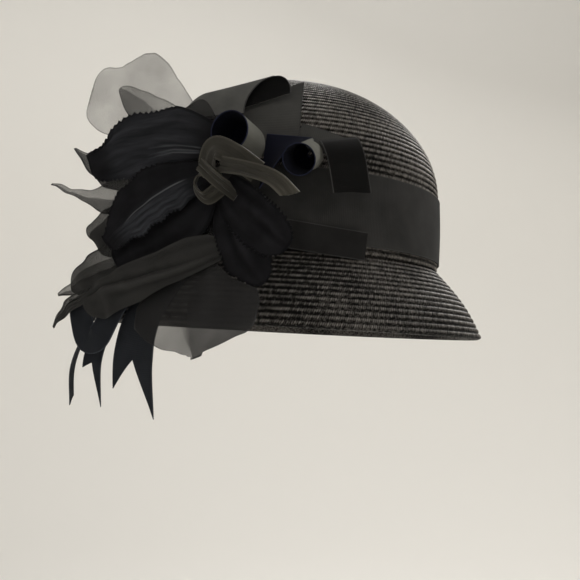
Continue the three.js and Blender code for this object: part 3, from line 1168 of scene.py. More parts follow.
@dataclass(frozen=True)
class ClothGrid:
    """The middle face of a cloth piece: rows along it and columns across it, in millimetres.

    The weave holds the way across, the way along and the distance from the edge at each point.
    """

    points: np.ndarray
    weave: np.ndarray

    def declare(self, piece: Piece, width: float, hold: Hold) -> None:
        """Does nothing: what a piece was cut from and how it is held is not recorded.

        Args:
            piece: The finished piece. Not used.
            width: The width of its cut. Not used.
            hold: How it is held. Not used.
        """

    def sheet(self, room: Workroom, name: str, seat: Seat | None, wall: float) -> Piece:
        """The cloth as a closed thin sheet.

        Args:
            room: Makes the mesh.
            name: The piece's name.
            seat: The seat that the points are given in, or None where they are the hat's own.
            wall: The thickness of the cloth.

        Returns:
            The piece with its weave on its points.
        """
        rows, columns = self.points.shape[:2]
        along, across = np.gradient(self.points, axis=0), np.gradient(self.points, axis=1)
        offset = unit(np.cross(across, along)) * wall / 2
        both = np.stack([self.points + offset, self.points - offset]).reshape(-1, 3)
        number = np.arange(rows * columns).reshape(rows, columns)
        back = number + rows * columns
        quads = [
            (number[:-1, :-1], number[:-1, 1:], number[1:, 1:], number[1:, :-1]),
            (back[1:, :-1], back[1:, 1:], back[:-1, 1:], back[:-1, :-1]),
            (number[:-1, 0], number[1:, 0], back[1:, 0], back[:-1, 0]),
            (back[:-1, -1], back[1:, -1], number[1:, -1], number[:-1, -1]),
            (number[0, :-1], back[0, :-1], back[0, 1:], number[0, 1:]),
            (number[-1, 1:], back[-1, 1:], back[-1, :-1], number[-1, :-1]),
        ]
        faces = np.concatenate([np.stack([part.ravel() for part in quad], -1) for quad in quads])
        placed = seat.place(both) if seat else both * MM
        piece = room.mesh_piece(name, placed, faces.tolist())
        room.smooth(piece)
        weave = self.weave.reshape(-1, 3)
        room.mark(piece, "weave", "FLOAT_VECTOR", np.concatenate([weave, weave]))
        return piece


@dataclass
class HatBand:
    """The grosgrain band round the foot of the crown."""

    room: Workroom
    steps: int = 360
    columns: int = 13
    wall: float = 0.7
    edge_roll: float = 0.12
    roll_power: int = 8
    face: float = 0.55

    def build(self) -> None:
        """Make the band as one closed round of ribbon."""
        angle = 2 * np.pi * np.arange(self.steps) / self.steps
        share = np.linspace(0, 1, self.columns)
        height = mix(HAT.band_bottom, HAT.band_top, share)
        roll = self.edge_roll * np.abs(2 * share - 1) ** self.roll_power
        middle = HAT.crown_half_width(height) + HAT.gap + HAT.band_thickness / 2
        outer, inner = middle + roll + self.wall / 2, middle - self.wall / 2
        half_width = np.concatenate([outer, inner[::-1]])
        level = np.concatenate([height, height[::-1]])
        round_x = np.sin(angle)[:, None] * half_width
        round_y = -HAT.oval * np.cos(angle)[:, None] * half_width
        points = np.stack([round_x, round_y, np.broadcast_to(level, round_x.shape)], -1)
        count = 2 * self.columns
        number = np.arange(self.steps * count).reshape(self.steps, count)
        beside, above = np.roll(number, -1, axis=0), np.roll(number, -1, axis=1)
        quads = np.stack([number, beside, np.roll(above, -1, axis=0), above], -1).reshape(-1, 4)
        piece = self.room.mesh_piece("band_ribbon", points.reshape(-1, 3) * MM, quads.tolist())
        self.room.smooth(piece)
        travel = travelled(points[:, 0])
        width = HAT.band_top - HAT.band_bottom
        across = np.concatenate([share, share[::-1]]) * width
        edge = np.minimum(across, width - across)
        weave = np.stack(np.broadcast_arrays(across[None], travel[:, None], edge[None]), -1)
        self.room.mark(piece, "weave", "FLOAT_VECTOR", weave.reshape(-1, 3))
        self.room.mark(piece, "face", "FLOAT", np.full(points.size // 3, self.face))
        self.room.settle(piece, "hat_band", Cloth.GROSGRAIN)


@dataclass(frozen=True)
class Petal:
    """A petal on a bent midrib: three places on it, its widths, and the forms of its face and edge."""

    name: str
    cloth: Cloth
    root: Place
    mid: Place
    tip: Place
    root_wide: float
    wide: float
    widest: float
    blunt: float
    dish: float
    wave: float
    waves: float
    twist: float
    folds: float = 4.0
    fold_depth: float = 0.5
    midrib: float = 0.0
    # The panel is partly painted sheen, and the pleat highlights are painted highlight lines
    panel: float = 0.0
    panel_from: float = -0.2
    pleat_highlights: tuple[float, ...] = ()
    crumple: float = 0.0
    doubled: float = 2.0
    cuts: tuple[Triple, ...] = ((0.0, 0.0, 0.0),)

    TIP_WIDE = 1.2
    NARROWS_FROM = 0.9
    STILL_POWER = 6
    BITE_POWER = 12
    RIDGE_WIDE = 0.05
    CREASED = (0.35, 0.8)

    # Each row gives the reach of a wander of the folds, its pace and its phase by the petal's width
    WANDERS = ((1.3, 3.0, 1.0), (0.8, 7.0, -0.6))
    UNEVEN = (0.6, 0.4)
    UNEVEN_PACE = (5.0, 4.0)
    QUIET_SIDE = 0.2
    QUIET_SOFT = 0.1
    END_FADE = 0.7
    EDGE_FADE = 0.5

    # Each row gives a main wave, its wander and that wander's wave, and the share and wave of a smaller one
    CREASE_WAVES = (
        ((0.25, 0.0, 0.0), 1.3, (0.0, 0.19, 0.0), 0.4, (0.2, 0.52, 0.0)),
        ((0.0, 0.29, 0.0), 1.2, (0.17, 0.0, 0.0), 0.4, (0.47, -0.3, 0.0)),
        ((0.31, 0.31, 0.0), 1.4, (0.19, 0.0, 0.23), 0.0, (0.0, 0.0, 0.0)),
    )

    @property
    def edge(self) -> Edge:
        """Velvet is pinked and organza hemmed."""
        return Edge.PINKED if self.cloth is Cloth.VELVET else Edge.HEMMED

    def half_width(self, long: np.ndarray) -> np.ndarray:
        """Half the petal's width at shares of its length.

        Args:
            long: Shares of the length.

        Returns:
            The half widths.
        """
        rise = np.sin(np.pi / 2 * np.clip(long / self.widest, 0, 1))
        past = np.clip((long - self.widest) / (1 - self.widest), 0, 1)
        fall = (1 - past**self.blunt) ** (1 / self.blunt)
        low = mix(self.root_wide, self.wide, rise)
        return np.where(long < self.widest, low, mix(self.TIP_WIDE, self.wide, fall)) / 2

    def axes(self, long: np.ndarray) -> tuple[np.ndarray, np.ndarray, np.ndarray]:
        """Places on the midrib, and the directions across and out of the petal there.

        Args:
            long: Shares of the length.

        Returns:
            The places, the directions across and the directions out.
        """
        root, mid, tip = (np.array(place, float) for place in (self.root, self.mid, self.tip))
        pull = 2 * mid - (root + tip) / 2
        long = long[:, None]
        place = root * (1 - long) ** 2 + pull * 2 * long * (1 - long) + tip * long**2
        tangent = unit((pull - root) * (1 - long) + (tip - pull) * long)
        flat = unit(np.cross(UP, tangent))
        turn = math.radians(self.twist) * long**2
        across = flat * np.cos(turn) + np.cross(tangent, flat) * np.sin(turn)
        return place, across, np.cross(tangent, across)

    def face(self, share: np.ndarray, side: np.ndarray, bite: np.ndarray | float = 0.0) -> np.ndarray:
        """Places on the petal's middle face.

        Args:
            share: Shares of the petal's length, before they are drawn together at the tip.
            side: Places across it, from -1 to 1.
            bite: How far the edge is cut back at each share.

        Returns:
            A grid of points, rows along the petal and columns across it.
        """
        long = np.sin(np.pi / 2 * share)
        place, across, outward = self.axes(long)
        shares, low_cut, high_cut = np.array(self.cuts, float).T
        cut = np.stack([np.interp(long, shares, low_cut), np.interp(long, shares, high_cut)])
        half = self.half_width(long)
        long, side = long[:, None], side[None, :]
        half = (half - np.where(side.T < 0, cut[0], cut[1])).T.clip(self.TIP_WIDE / 4)
        near_tip = long[:, 0] > self.NARROWS_FROM
        half[near_tip] = np.minimum.accumulate(half[near_tip], axis=0)
        still = 1 - long**self.STILL_POWER
        wave = self.wave * np.sin(2 * np.pi * self.waves * long + side) * np.abs(side) * long * still
        fold = self.fold_depth * self.fold(long, side)
        ridge = self.midrib * np.exp(-((side / self.RIDGE_WIDE) ** 2)) * np.sin(np.pi * long)
        rise = self.dish * side**2 * long * still + wave + fold + ridge
        reach = side * (half - np.asarray(bite)[..., None] * np.abs(side) ** self.BITE_POWER)
        grid = place[:, None] + across[:, None] * reach[..., None] + outward[:, None] * rise[..., None]
        return grid + self.creases(grid, ramp(long, *self.CREASED))

    def fold(self, long: np.ndarray, side: np.ndarray) -> np.ndarray:
        """The soft folds that run along the petal, from -1 in a valley to 1 on a ridge.

        Args:
            long: Shares of the length.
            side: Places across the petal, from -1 to 1.

        Returns:
            The height of the folds.
        """
        bend = sum(reach * np.sin(pace * long + phase * self.wide) for reach, pace, phase in self.WANDERS)
        (middle, reach), (along, across) = self.UNEVEN, self.UNEVEN_PACE
        uneven = middle + reach * np.sin(along * long + across * side + self.wide)
        valley = uneven * np.sin(np.pi * self.folds * side + bend)
        if self.midrib:
            valley = valley * mix(self.QUIET_SIDE, 1.0, ramp(side, -self.QUIET_SOFT, self.QUIET_SOFT))
        ends, edges = np.sin(np.pi * long).clip(0), np.cos(np.pi / 2 * side).clip(0)
        return valley * ends**self.END_FADE * edges**self.EDGE_FADE

    def creases(self, grid: np.ndarray, strength: np.ndarray) -> np.ndarray:
        """Small irregular moves of soft cloth.

        Args:
            grid: The places that move.
            strength: How far each row is creased, from 0 to 1.

        Returns:
            The move of each place.
        """
        moves = []
        for main, bend, along, share, small in self.CREASE_WAVES:
            wander = bend * np.sin(grid @ np.array(along))
            moves.append(np.sin(grid @ np.array(main) + wander) + share * np.sin(grid @ np.array(small)))
        return self.crumple * strength[..., None] * np.stack(moves, -1)


@dataclass
class FlowerTrim:
    """The velvet and organza petals of the flower."""

    room: Workroom
    petals: tuple[Petal, ...]
    columns: int = 29
    velvet_columns: int = 49
    tooth_pitch: float = 2.3
    tooth_depth: float = 1.6
    tooth_seed: int = 5
    tooth_rows: int = 4
    tooth_range: Pair = (0.5, 1.2)
    toothed: Pair = (0.15, 0.35)
    hem_step: float = 0.9
    velvet_wall: float = 0.6
    organza_wall: float = 0.25
    fine_steps: int = 900
    fewest_rows: int = 24
    full_fold: float = 0.5
    double_soft: float = 0.06
    double_wander: Pair = (0.05, 9.0)
    panel_soft: float = 0.4
    panel_ends: tuple[Pair, Pair] = ((0.05, 0.3), (0.08, 0.25))
    vein_ends: tuple[Pair, Pair] = ((0.15, 0.25), (0.2, 0.35))
    # The pleat values shape the painted highlight lines of the pleats
    pleat_ends: tuple[Pair, Pair] = ((0.08, 0.14), (0.45, 0.75))
    pleat_wide: float = 0.03
    pleat_strength: float = 0.55
    pleat_least: float = 0.02
    pleat_soft: float = 0.05

    def rows(self, petal: Petal, step: float) -> np.ndarray:
        """Shares of a petal's length at even steps of its edge.

        Args:
            petal: The petal.
            step: The length of a step.

        Returns:
            The shares from the root to the tip.
        """
        fine = np.linspace(0, 1, self.fine_steps)
        edges = petal.face(fine, np.array([-1.0, 1.0]))
        travel = np.linalg.norm(np.diff(edges, axis=0), axis=2).mean(axis=1)
        travel = np.concatenate([[0], np.cumsum(travel)])
        count = max(int(travel[-1] / step), self.fewest_rows)
        return np.interp(np.linspace(0, travel[-1], count + 1), travel, fine)

    def grid(self, petal: Petal) -> ClothGrid:
        """The middle face of a petal with its edge cut.

        Args:
            petal: The petal.

        Returns:
            Its grid.
        """
        pinked = petal.edge is Edge.PINKED
        teeth = self.tooth_rows
        share = self.rows(petal, self.tooth_pitch / teeth if pinked else self.hem_step)
        side = np.linspace(-1, 1, self.velvet_columns if pinked else self.columns)
        bite = np.zeros(len(share))
        if pinked:
            tooth = np.abs(2 * (np.arange(len(share)) % teeth) / teeth - 1)
            draws = np.random.default_rng(self.tooth_seed)
            uneven = np.repeat(draws.uniform(*self.tooth_range, len(share) // teeth + 1), teeth)
            bite = self.tooth_depth * tooth * uneven[: len(share)] * ramp(share, *self.toothed)
        points = petal.face(share, side, bite)
        long = np.sin(np.pi / 2 * share)
        half = petal.half_width(long)[:, None]
        travel = travelled(points[:, len(side) // 2])[:, None]
        edge = np.minimum((1 - np.abs(side)) * half, travel[-1] - travel)
        weave = np.stack(np.broadcast_arrays(side * half, travel, edge), -1)
        return ClothGrid(points, weave)

    def build(self) -> None:
        """Make every petal."""
        for petal in self.petals:
            grid = self.grid(petal)
            wall = self.velvet_wall if petal.edge is Edge.PINKED else self.organza_wall
            piece = grid.sheet(self.room, petal.name + "_cloth", SEATS[SeatName.HEART], wall)
            self.brush(piece, petal, grid)
            self.room.settle(piece, petal.name, petal.cloth)
            grid.declare(piece, petal.wide, Hold.GATHERED)

    @staticmethod
    def within(long: np.ndarray, ends: tuple[Pair, Pair]) -> np.ndarray:
        """1 along a petal, falling to 0 at its root and its tip."""
        return ramp(long, *ends[0]) * ramp(1 - long, *ends[1])

    def brush(self, piece: Piece, petal: Petal, grid: ClothGrid) -> None:
        """Mark a petal's painted shade and light on its folds, its doubled part, and the paler panel of
        partly painted sheen, the painted pleat highlights and the vein of a velvet one.

        Args:
            piece: The petal's piece.
            petal: The petal.
            grid: Its grid.
        """
        side = grid.weave[..., 0] / np.abs(grid.weave[:, :1, 0]).clip(1e-6)
        long = grid.weave[..., 1] / grid.weave[-1, 0, 1]
        depth = min(petal.fold_depth / self.full_fold, 1.0)
        # Painted shade and light on the folds: valleys darker, ridges lighter
        self.room.mark_faces(piece, "fold", 0.5 + 0.5 * petal.fold(long, side) * depth)
        reach, pace = self.double_wander
        line = side + reach * np.sin(pace * long)
        self.room.mark_faces(piece, "double", ramp(line, petal.doubled, petal.doubled + self.double_soft))
        self.room.mark_faces(piece, "vein", petal.midrib * self.within(long, self.vein_ends))
        # Partly painted sheen: the velvet's paler panel
        panel = petal.panel * ramp(side, petal.panel_from, petal.panel_from + self.panel_soft)
        panel = panel * self.within(long, self.panel_ends)
        # Painted highlights along the pleats
        pleat_highlight = np.zeros_like(side)
        for pleat in petal.pleat_highlights:
            line = np.exp(-(((side - pleat) / self.pleat_wide) ** 2)) * self.within(long, self.pleat_ends)
            pleat_highlight = np.maximum(pleat_highlight, self.pleat_strength * line)
        over = np.maximum(panel, 1.0) * ramp(pleat_highlight, 0.0, self.pleat_soft) + pleat_highlight
        self.room.mark_faces(piece, "panel", np.where(pleat_highlight > self.pleat_least, over, panel))


V, SHEER, SOFT, DENSE = Cloth.VELVET, Cloth.SHEER, Cloth.SOFT, Cloth.DENSE

# Each row gives a share of a petal's length, and how far its edge is cut back there on either side
TOP_CUTS = (
    (0.25, 6, 4), (0.4, 5, 6.5), (0.5, 3.4, 8.5), (0.6, -0.6, 9.5), (0.7, -3, 9.4), (0.75, -1.5, 8.4),
    (0.8, 4, 7.5), (0.85, 6.4, 6.6), (0.9, 5.4, 5.6), (0.95, 3.2, 4), (0.98, 1, 2.2), (1, 0, 0),
)
FRONT_CUTS = (
    (0.2, 0, 10), (0.4, 0, 20), (0.5, 0, 14), (0.6, -2.5, 3.5), (0.7, -0.8, 1.8), (0.75, 2.3, 2.2),
    (0.8, 7.2, 2.5), (0.85, 12.5, 2), (0.9, 17.5, 1), (0.95, 20, 0), (0.965, 18.5, 8),
    (0.98, 17.2, 13), (0.99, 14, 10), (1, 0, 0),
)
LOW_CUTS = (
    (0.4, 5.5, 3), (0.6, 5.5, 2), (0.7, 4.8, 0.5), (0.8, 3.6, -0.5), (0.9, 3.2, -0.5), (1, 0, 0),
)
LEFT_CUTS = (
    (0.55, 0, 0), (0.7, 3.2, 3), (0.82, 2.6, 2.6), (1, 0, 0),
)
UPPER_CUTS = (
    (0.15, -1, 3), (0.3, -1, 3.6), (0.42, 2, 1.6), (0.52, 3.2, -0.8), (0.6, 2.8, -1.6),
    (0.7, 4, -1.6), (0.76, 6, -1.5), (0.8, 9.5, -1.5), (0.87, 10.6, -2), (0.94, 9, -3), (1, 0.5, -1),
)
UNDER_CUTS = (
    (0.15, 0, 0), (0.3, 0, -1.5), (0.45, 0, -2), (0.6, 0, -1), (0.7, 0, 0),
)
SWEEP_CUTS = (
    (0.04, 0, 0), (0.15, -3, 0), (0.3, -3, 0), (0.5, 0, 0), (0.75, 1.5, -3), (0.9, 3, -4.5),
    (0.97, 3, -4), (1, 0, 0),
)
MIDDLE_CUTS = (
    (0.15, 2, 1), (0.25, 2.5, 2.2), (0.36, 0.8, 0.8), (0.47, -0.5, 2.6), (0.56, 0, 1),
    (0.65, 1.8, 3.4), (0.74, 2, 1.2), (0.82, 3.6, 4), (0.9, 5.2, 2), (0.96, 5, 1), (1, 0.3, 0.3),
)

# Each petal gives its midrib's root, middle and tip, then its width at the root, its full width, where that
# is, how blunt it is, its dish, the height and number of its waves, and its twist
PETALS = (
    Petal("organza_petal_top_outer", SHEER, (-5, 6, 1.2), (-38, 26, -3.5), (-77, 41, 0),
          12, 52, 0.62, 2.7, 3, 1.5, 1.5, 0,
          folds=2, fold_depth=0.6, crumple=0.4, cuts=TOP_CUTS),
    Petal("organza_petal_top_inner", SHEER, (-4, 7, 2.6), (-31, 22.5, 3), (-54.5, 40.5, 6),
          8, 20, 0.5, 1.6, 2, 1, 1, 15,
          folds=2, crumple=0.7, doubled=-0.2),
    Petal("organza_petal_top_small", SOFT, (-2, 7, 8.9), (-7, 17, 9.6), (-12, 28, 10.5),
          8, 18, 0.6, 2.4, 1, 0.6, 1.5, 0,
          crumple=0.4),
    Petal("velvet_petal_upper", V, (2, 7, 11), (-30, 11, 16), (-61, 2, 19),
          17, 32, 0.55, 2.8, 3, 1.2, 2, 0,
          folds=3, fold_depth=0.9, panel=0.6, panel_from=-1.2, pleat_highlights=(0.25, 0.46, 0.58), crumple=0.6,
          cuts=UPPER_CUTS),
    Petal("velvet_petal_middle", V, (0, -5, 13.4), (-21, -16, 20.5), (-44, -38, 24),
          14, 29, 0.55, 2.8, 4, 1.2, 2, 0,
          folds=8, fold_depth=0.5, midrib=0.8, panel=1.0, crumple=0.4, cuts=MIDDLE_CUTS),
    Petal("velvet_petal_lower", V, (0, -9, 10.9), (-14, -27, 17.2), (-43, -43, 19.8),
          12, 27, 0.55, 3, 2, 0.6, 2, 0,
          folds=3, crumple=0.4, cuts=UNDER_CUTS),
    Petal("velvet_petal_right", V, (9, -10, 13.2), (28, -26, 25.2), (48, -40, 28),
          12, 22, 0.6, 2.4, 2, 0.8, 1.5, 0,
          folds=3, fold_depth=0.7, crumple=0.5),
    Petal("velvet_petal_right_low", V, (7.5, -14, 9), (22, -34, 22.5), (37, -55, 26.5),
          12, 24, 0.6, 1.8, 1, 0.5, 1.5, 0,
          folds=3, fold_depth=0.6, crumple=0.5),
    Petal("organza_petal_left_upper", SOFT, (-6, 1, 5), (-48, -5, 5.5), (-79, 11, 7),
          8, 12, 0.6, 1.2, 1, 0.8, 2, 40,
          folds=2, crumple=1.0, doubled=-0.3),
    Petal("organza_petal_left", SOFT, (-6, -2, 6.8), (-50, -14, 10.4), (-88, -6, 11),
          6, 17, 0.55, 1.2, 2, 0.8, 1, 40,
          folds=3, fold_depth=0.8, crumple=0.8, doubled=0.1, cuts=LEFT_CUTS),
    Petal("organza_petal_left_low", DENSE, (-6, -6, 8.6), (-36, -20, 13.4), (-59, -36, 12.4),
          8, 26, 0.7, 3, 0.5, 0.5, 1.5, 0,
          folds=3, crumple=0.8, doubled=-0.6, cuts=LOW_CUTS),
    Petal("organza_curl", DENSE, (-9, -17, 9.6), (-38, -43, 17), (-66, -57, 19),
          8, 20, 0.65, 2, 2, 0.4, 1, 0,
          folds=2, crumple=0.6, doubled=-0.1),
    Petal("organza_tip_upper", SOFT, (-43, -45, 15), (-60, -54, 15), (-77, -61.5, 14),
          6, 11, 0.5, 1.1, 1, 0.4, 1, 0,
          crumple=0.8, doubled=0.1),
    Petal("organza_tip_lower", DENSE, (-37, -59, 29.2), (-55, -64.5, 28.5), (-69, -76, 26),
          6, 6.5, 0.5, 1.2, 1, 0.4, 1, 20,
          crumple=0.6, doubled=-0.5),
    Petal("organza_sweep", DENSE, (16, -38, 17.2), (-12, -49, 26.3), (-49, -63.5, 32),
          7, 17, 0.7, 2.2, 2, 0.4, 1.5, 0,
          folds=3, fold_depth=1.0, crumple=0.6, doubled=-1.2, cuts=SWEEP_CUTS),
    Petal("organza_petal_front", SOFT, (6, -12, 6), (7, -54, 22.9), (15.5, -86.5, 43),
          12, 61, 0.72, 3, 0, 0.6, 2, 0,
          folds=3, fold_depth=0.15, crumple=0.4, doubled=-0.2, cuts=FRONT_CUTS),
)


@dataclass(frozen=True)
class Loop:
    """A ribbon loop: an arc near the hat and a like arc further out, with a straight lead-in."""

    name: str
    cloth: Cloth
    seat: SeatName
    back: Place
    back_radius: float
    front: Place
    front_radius: float
    start: float
    sweep: float
    lead: float
    draw: float = 0.85
    squash: float = 1.0
    tilt: float = 0.0
    skew: float = 0.0

    @property
    def arc(self) -> float:
        """The length of the loop's arc, half way between its two edges."""
        return math.radians(abs(self.sweep)) * (self.back_radius + self.front_radius) / 2

    def edge(self, centre: Place, radius: float, skew: float, share: np.ndarray) -> np.ndarray:
        """Places along one edge of the loop at shares of its length.

        Args:
            centre: The centre of the edge's arc.
            radius: The radius of the arc.
            skew: A turn of its start, in degrees.
            share: Shares of the edge's length.

        Returns:
            The places.
        """
        arc = radius * math.radians(abs(self.sweep))
        travel = share * (self.lead + arc) - self.lead
        on_arc = np.clip(travel, 0, arc)
        heading = math.copysign(1, self.sweep)
        angle = math.radians(self.start + skew) + heading * on_arc / radius
        flat = np.zeros_like(angle)
        tangent = np.stack([-np.sin(angle), np.cos(angle), flat], -1) * heading
        spoke = np.stack([np.cos(angle), np.sin(angle), flat], -1) * radius
        line = spoke + tangent * (travel - on_arc)[:, None]
        tilt = math.radians(self.tilt)
        short = np.array([-math.sin(tilt), math.cos(tilt), 0.0])
        return np.array(centre, float) + line - (1 - self.squash) * (line @ short)[:, None] * short


@dataclass(frozen=True)
class Ribbon:
    """A ribbon on a middle line, each row of which gives u, v, w and the turn about the line.

    The ends say how far the far end is cut back at its left corner, its notch and its right corner.
    """

    name: str
    cloth: Cloth
    seat: SeatName
    width: float
    ends: Triple
    rows: tuple[tuple[float, float, float, float], ...]
    hold: Hold = Hold.HUNG
    # Painted shade below 0.5 and painted light above, partly also the side of the ribbon that shows
    face: float = 0.5
    slim: float = 1.0

    def line(self, share: np.ndarray) -> np.ndarray:
        """Places on the middle line: a smooth curve through the rows, at shares of their count.

        Args:
            share: Shares of the count of rows.

        Returns:
            The places.
        """
        spots = np.array(self.rows, float)[:, :3]
        spots = np.concatenate([[2 * spots[0] - spots[1]], spots, [2 * spots[-1] - spots[-2]]])
        way = np.clip(share, 0, 1) * (len(self.rows) - 1)
        first = np.minimum(way.astype(int), len(self.rows) - 2)
        part = (way - first)[..., None]
        before, start, end, after = (spots[first + step] for step in range(4))
        steps = (start - before, end - start, after - end)
        knots = [np.sqrt(np.linalg.norm(step, axis=-1, keepdims=True)) for step in steps]
        first_knot, knot, last_knot = knots
        leave = steps[0] / first_knot - (end - before) / (first_knot + knot) + steps[1] / knot
        arrive = steps[1] / knot - (after - start) / (knot + last_knot) + steps[2] / last_knot
        leave, arrive = leave * knot, arrive * knot
        square = -3 * start + 3 * end - 2 * leave - arrive
        cube = 2 * start - 2 * end + leave + arrive
        return start + leave * part + square * part**2 + cube * part**3

    def turn(self, share: np.ndarray) -> np.ndarray:
        """The turn about the middle line, in radians."""
        turns = [row[3] for row in self.rows]
        return np.radians(np.interp(share * (len(turns) - 1), np.arange(len(turns)), turns))


@dataclass
class RibbonTrim:
    """The ribbon loops, ribbon ends, streamers and the silk knot."""

    room: Workroom
    loops: tuple[Loop, ...]
    ribbons: tuple[Ribbon, ...]
    columns: int = 11
    step: float = 0.45
    wall: float = 0.45
    silk_wall: float = 0.5
    picot: float = 0.14
    cup: float = 0.35
    crease: float = 0.45
    curl: float = 0.8
    draw_depth: float = 0.2
    draw_from: float = 0.02
    draw_run: float = 4.0
    edge_power: int = 6
    fine_steps: int = 1200
    nudge: float = 1e-3
    crease_waves: float = 2.5
    crease_pace: float = 0.12
    curl_level: float = 0.4
    # The silk's face mark starts unpainted at the knot; the right tail turns to painted light, the low tail
    # to painted shade
    silk_unpainted_face: float = 0.5
    silk_painted_ramp: Pair = (0.4, 1.0)
    # Face marks of the loops: the outside is paler, partly its pale side and partly painted light
    outside_pale_side_and_light: float = 1.0
    # The lead is darker, partly its dark side and partly painted shade
    lead_dark_side_and_shade: float = 0.0

    def picots(self, count: int, side: np.ndarray) -> np.ndarray:
        """How far each row's edges stand out: in and out by turns, where the ribs end.

        Args:
            count: How many rows there are.
            side: Places across the ribbon, from -1 to 1.

        Returns:
            The moves across the ribbon.
        """
        turns = self.picot * (np.arange(count) % 2 - 0.5)
        return turns[:, None] * np.abs(side) ** self.edge_power * np.sign(side)

    def loop_grid(self, loop: Loop) -> ClothGrid:
        """The middle face of a ribbon loop.

        Args:
            loop: The loop.

        Returns:
            Its grid.
        """
        arcs = math.radians(abs(loop.sweep)) * np.array([loop.back_radius, loop.front_radius]) + loop.lead
        share = np.linspace(0, 1, int(arcs.max() / self.step) + 1)
        wide = np.linspace(0, 1, self.columns)
        back = loop.edge(loop.back, loop.back_radius, 0.0, share)[:, None]
        front = loop.edge(loop.front, loop.front_radius, loop.skew, share)[:, None]
        width = np.linalg.norm(front - back, axis=-1)
        points = mix(back, front, (wide + self.picots(len(share), 2 * wide - 1) / width)[..., None])
        points = self.gathered(loop, points, wide, share)
        across = wide * width
        along = share[:, None] * arcs.mean()
        edge = np.minimum(across, width - across)
        return ClothGrid(points, np.stack(np.broadcast_arrays(across, along, edge), -1))

    def gathered(self, loop: Loop, points: np.ndarray, wide: np.ndarray, share: np.ndarray) -> np.ndarray:
        """The points of a loop drawn together at its back, where it is sewn down.

        Args:
            loop: The loop.
            points: Its points.
            wide: Shares of its width.
            share: Shares of its length.

        Returns:
            The moved points.
        """
        centre = np.array(loop.back, float) + (np.array(loop.front) - loop.back) * wide[:, None]
        on_arc = ramp(share * (loop.lead + loop.arc), loop.lead, loop.lead + self.draw_run)
        drawn = loop.draw * (1 - ramp(wide, self.draw_from, self.draw_depth)) * on_arc[:, None]
        return mix(points, centre, drawn[..., None])

    def ribbon_grid(self, ribbon: Ribbon) -> ClothGrid:
        """The middle face of a ribbon, with its far end cut.

        Args:
            ribbon: The ribbon.

        Returns:
            Its grid.
        """
        fine = np.linspace(0, 1, self.fine_steps)
        travel = travelled(ribbon.line(fine))
        length = travel[-1]
        share = np.interp(np.linspace(0, length, int(length / self.step) + 1), travel, fine)
        side = np.linspace(-1, 1, self.columns)
        cut = np.interp(side, [-1, 0, 1], ribbon.ends)
        long = share[:, None] * (1 + cut / length)
        place = ribbon.line(long)
        ahead, behind = np.minimum(long + self.nudge, 1), np.maximum(long - self.nudge, 0)
        tangent = unit(ribbon.line(ahead) - ribbon.line(behind))
        flat = unit(np.cross(UP, tangent))
        turn = ribbon.turn(long)[..., None]
        across = flat * np.cos(turn) + np.cross(tangent, flat) * np.sin(turn)
        outward = np.cross(tangent, across)
        along = np.interp(long, fine, travel)
        reach = side * ribbon.width * ribbon.slim / 2 + self.picots(len(share), side)
        rise = self.form(ribbon, side, along, length)
        points = place + across * reach[..., None] + outward * rise[..., None]
        span = (side + 1) * ribbon.width / 2
        edge = np.minimum(span, ribbon.width - span)
        return ClothGrid(points, np.stack(np.broadcast_arrays(span, along, edge), -1))

    def form(self, ribbon: Ribbon, side: np.ndarray, along: np.ndarray, length: float) -> np.ndarray:
        """How far the cloth rises off the plain ribbon: a cup, or creases where it is silk.

        Args:
            ribbon: The ribbon.
            side: Places across it, from -1 to 1.
            along: The way along it.
            length: Its length.

        Returns:
            The rise at each place.
        """
        bow = np.sin(np.pi * along / length)
        if ribbon.cloth is Cloth.SILK:
            crease = np.sin(self.crease_waves * np.pi * side + self.crease_pace * along)
            fold = self.crease * crease * np.cos(np.pi / 2 * side)
            return fold + self.curl * (side**2 - self.curl_level) * bow
        return -self.cup * side**2 * bow

    def build(self) -> None:
        """Make every loop and ribbon."""
        for loop in self.loops:
            grid = self.loop_grid(loop)
            piece = grid.sheet(self.room, loop.name + "_cloth", SEATS[loop.seat], self.wall)
            # Painted light and shade: the outside paler, the lead and the inside darker, partly also the
            # ribbon's two sides
            outside = np.where(grid.weave[..., 1] < loop.lead, self.lead_dark_side_and_shade, self.outside_pale_side_and_light)
            self.room.mark_faces(piece, "face", outside, np.zeros_like(outside))
            self.room.settle(piece, loop.name, loop.cloth)
            grid.declare(piece, float(grid.weave[..., 0].max()), Hold.FOLDED)
        for ribbon in self.ribbons:
            grid = self.ribbon_grid(ribbon)
            silk = ribbon.cloth is Cloth.SILK
            wall = self.silk_wall if silk else self.wall
            piece = grid.sheet(self.room, ribbon.name + "_cloth", SEATS[ribbon.seat], wall)
            way = grid.weave[..., 1] / grid.weave[..., 1].max()
            # Painted light and shade on the silk tails, growing from the knot to each tail's end
            turned = mix(self.silk_unpainted_face, ribbon.face, ramp(way, *self.silk_painted_ramp))
            self.room.mark_faces(piece, "face", turned if silk else np.full_like(way, ribbon.face))
            self.room.settle(piece, ribbon.name, ribbon.cloth)
            grid.declare(piece, ribbon.width, ribbon.hold)


G, N, S, B = Cloth.GROSGRAIN, Cloth.NAVY, Cloth.SILK, Cloth.STREAMER
HEART, FRONT, DOME = SeatName.HEART, SeatName.FRONT, SeatName.DOME
SQUARE = (0.0, 0.0, 0.0)

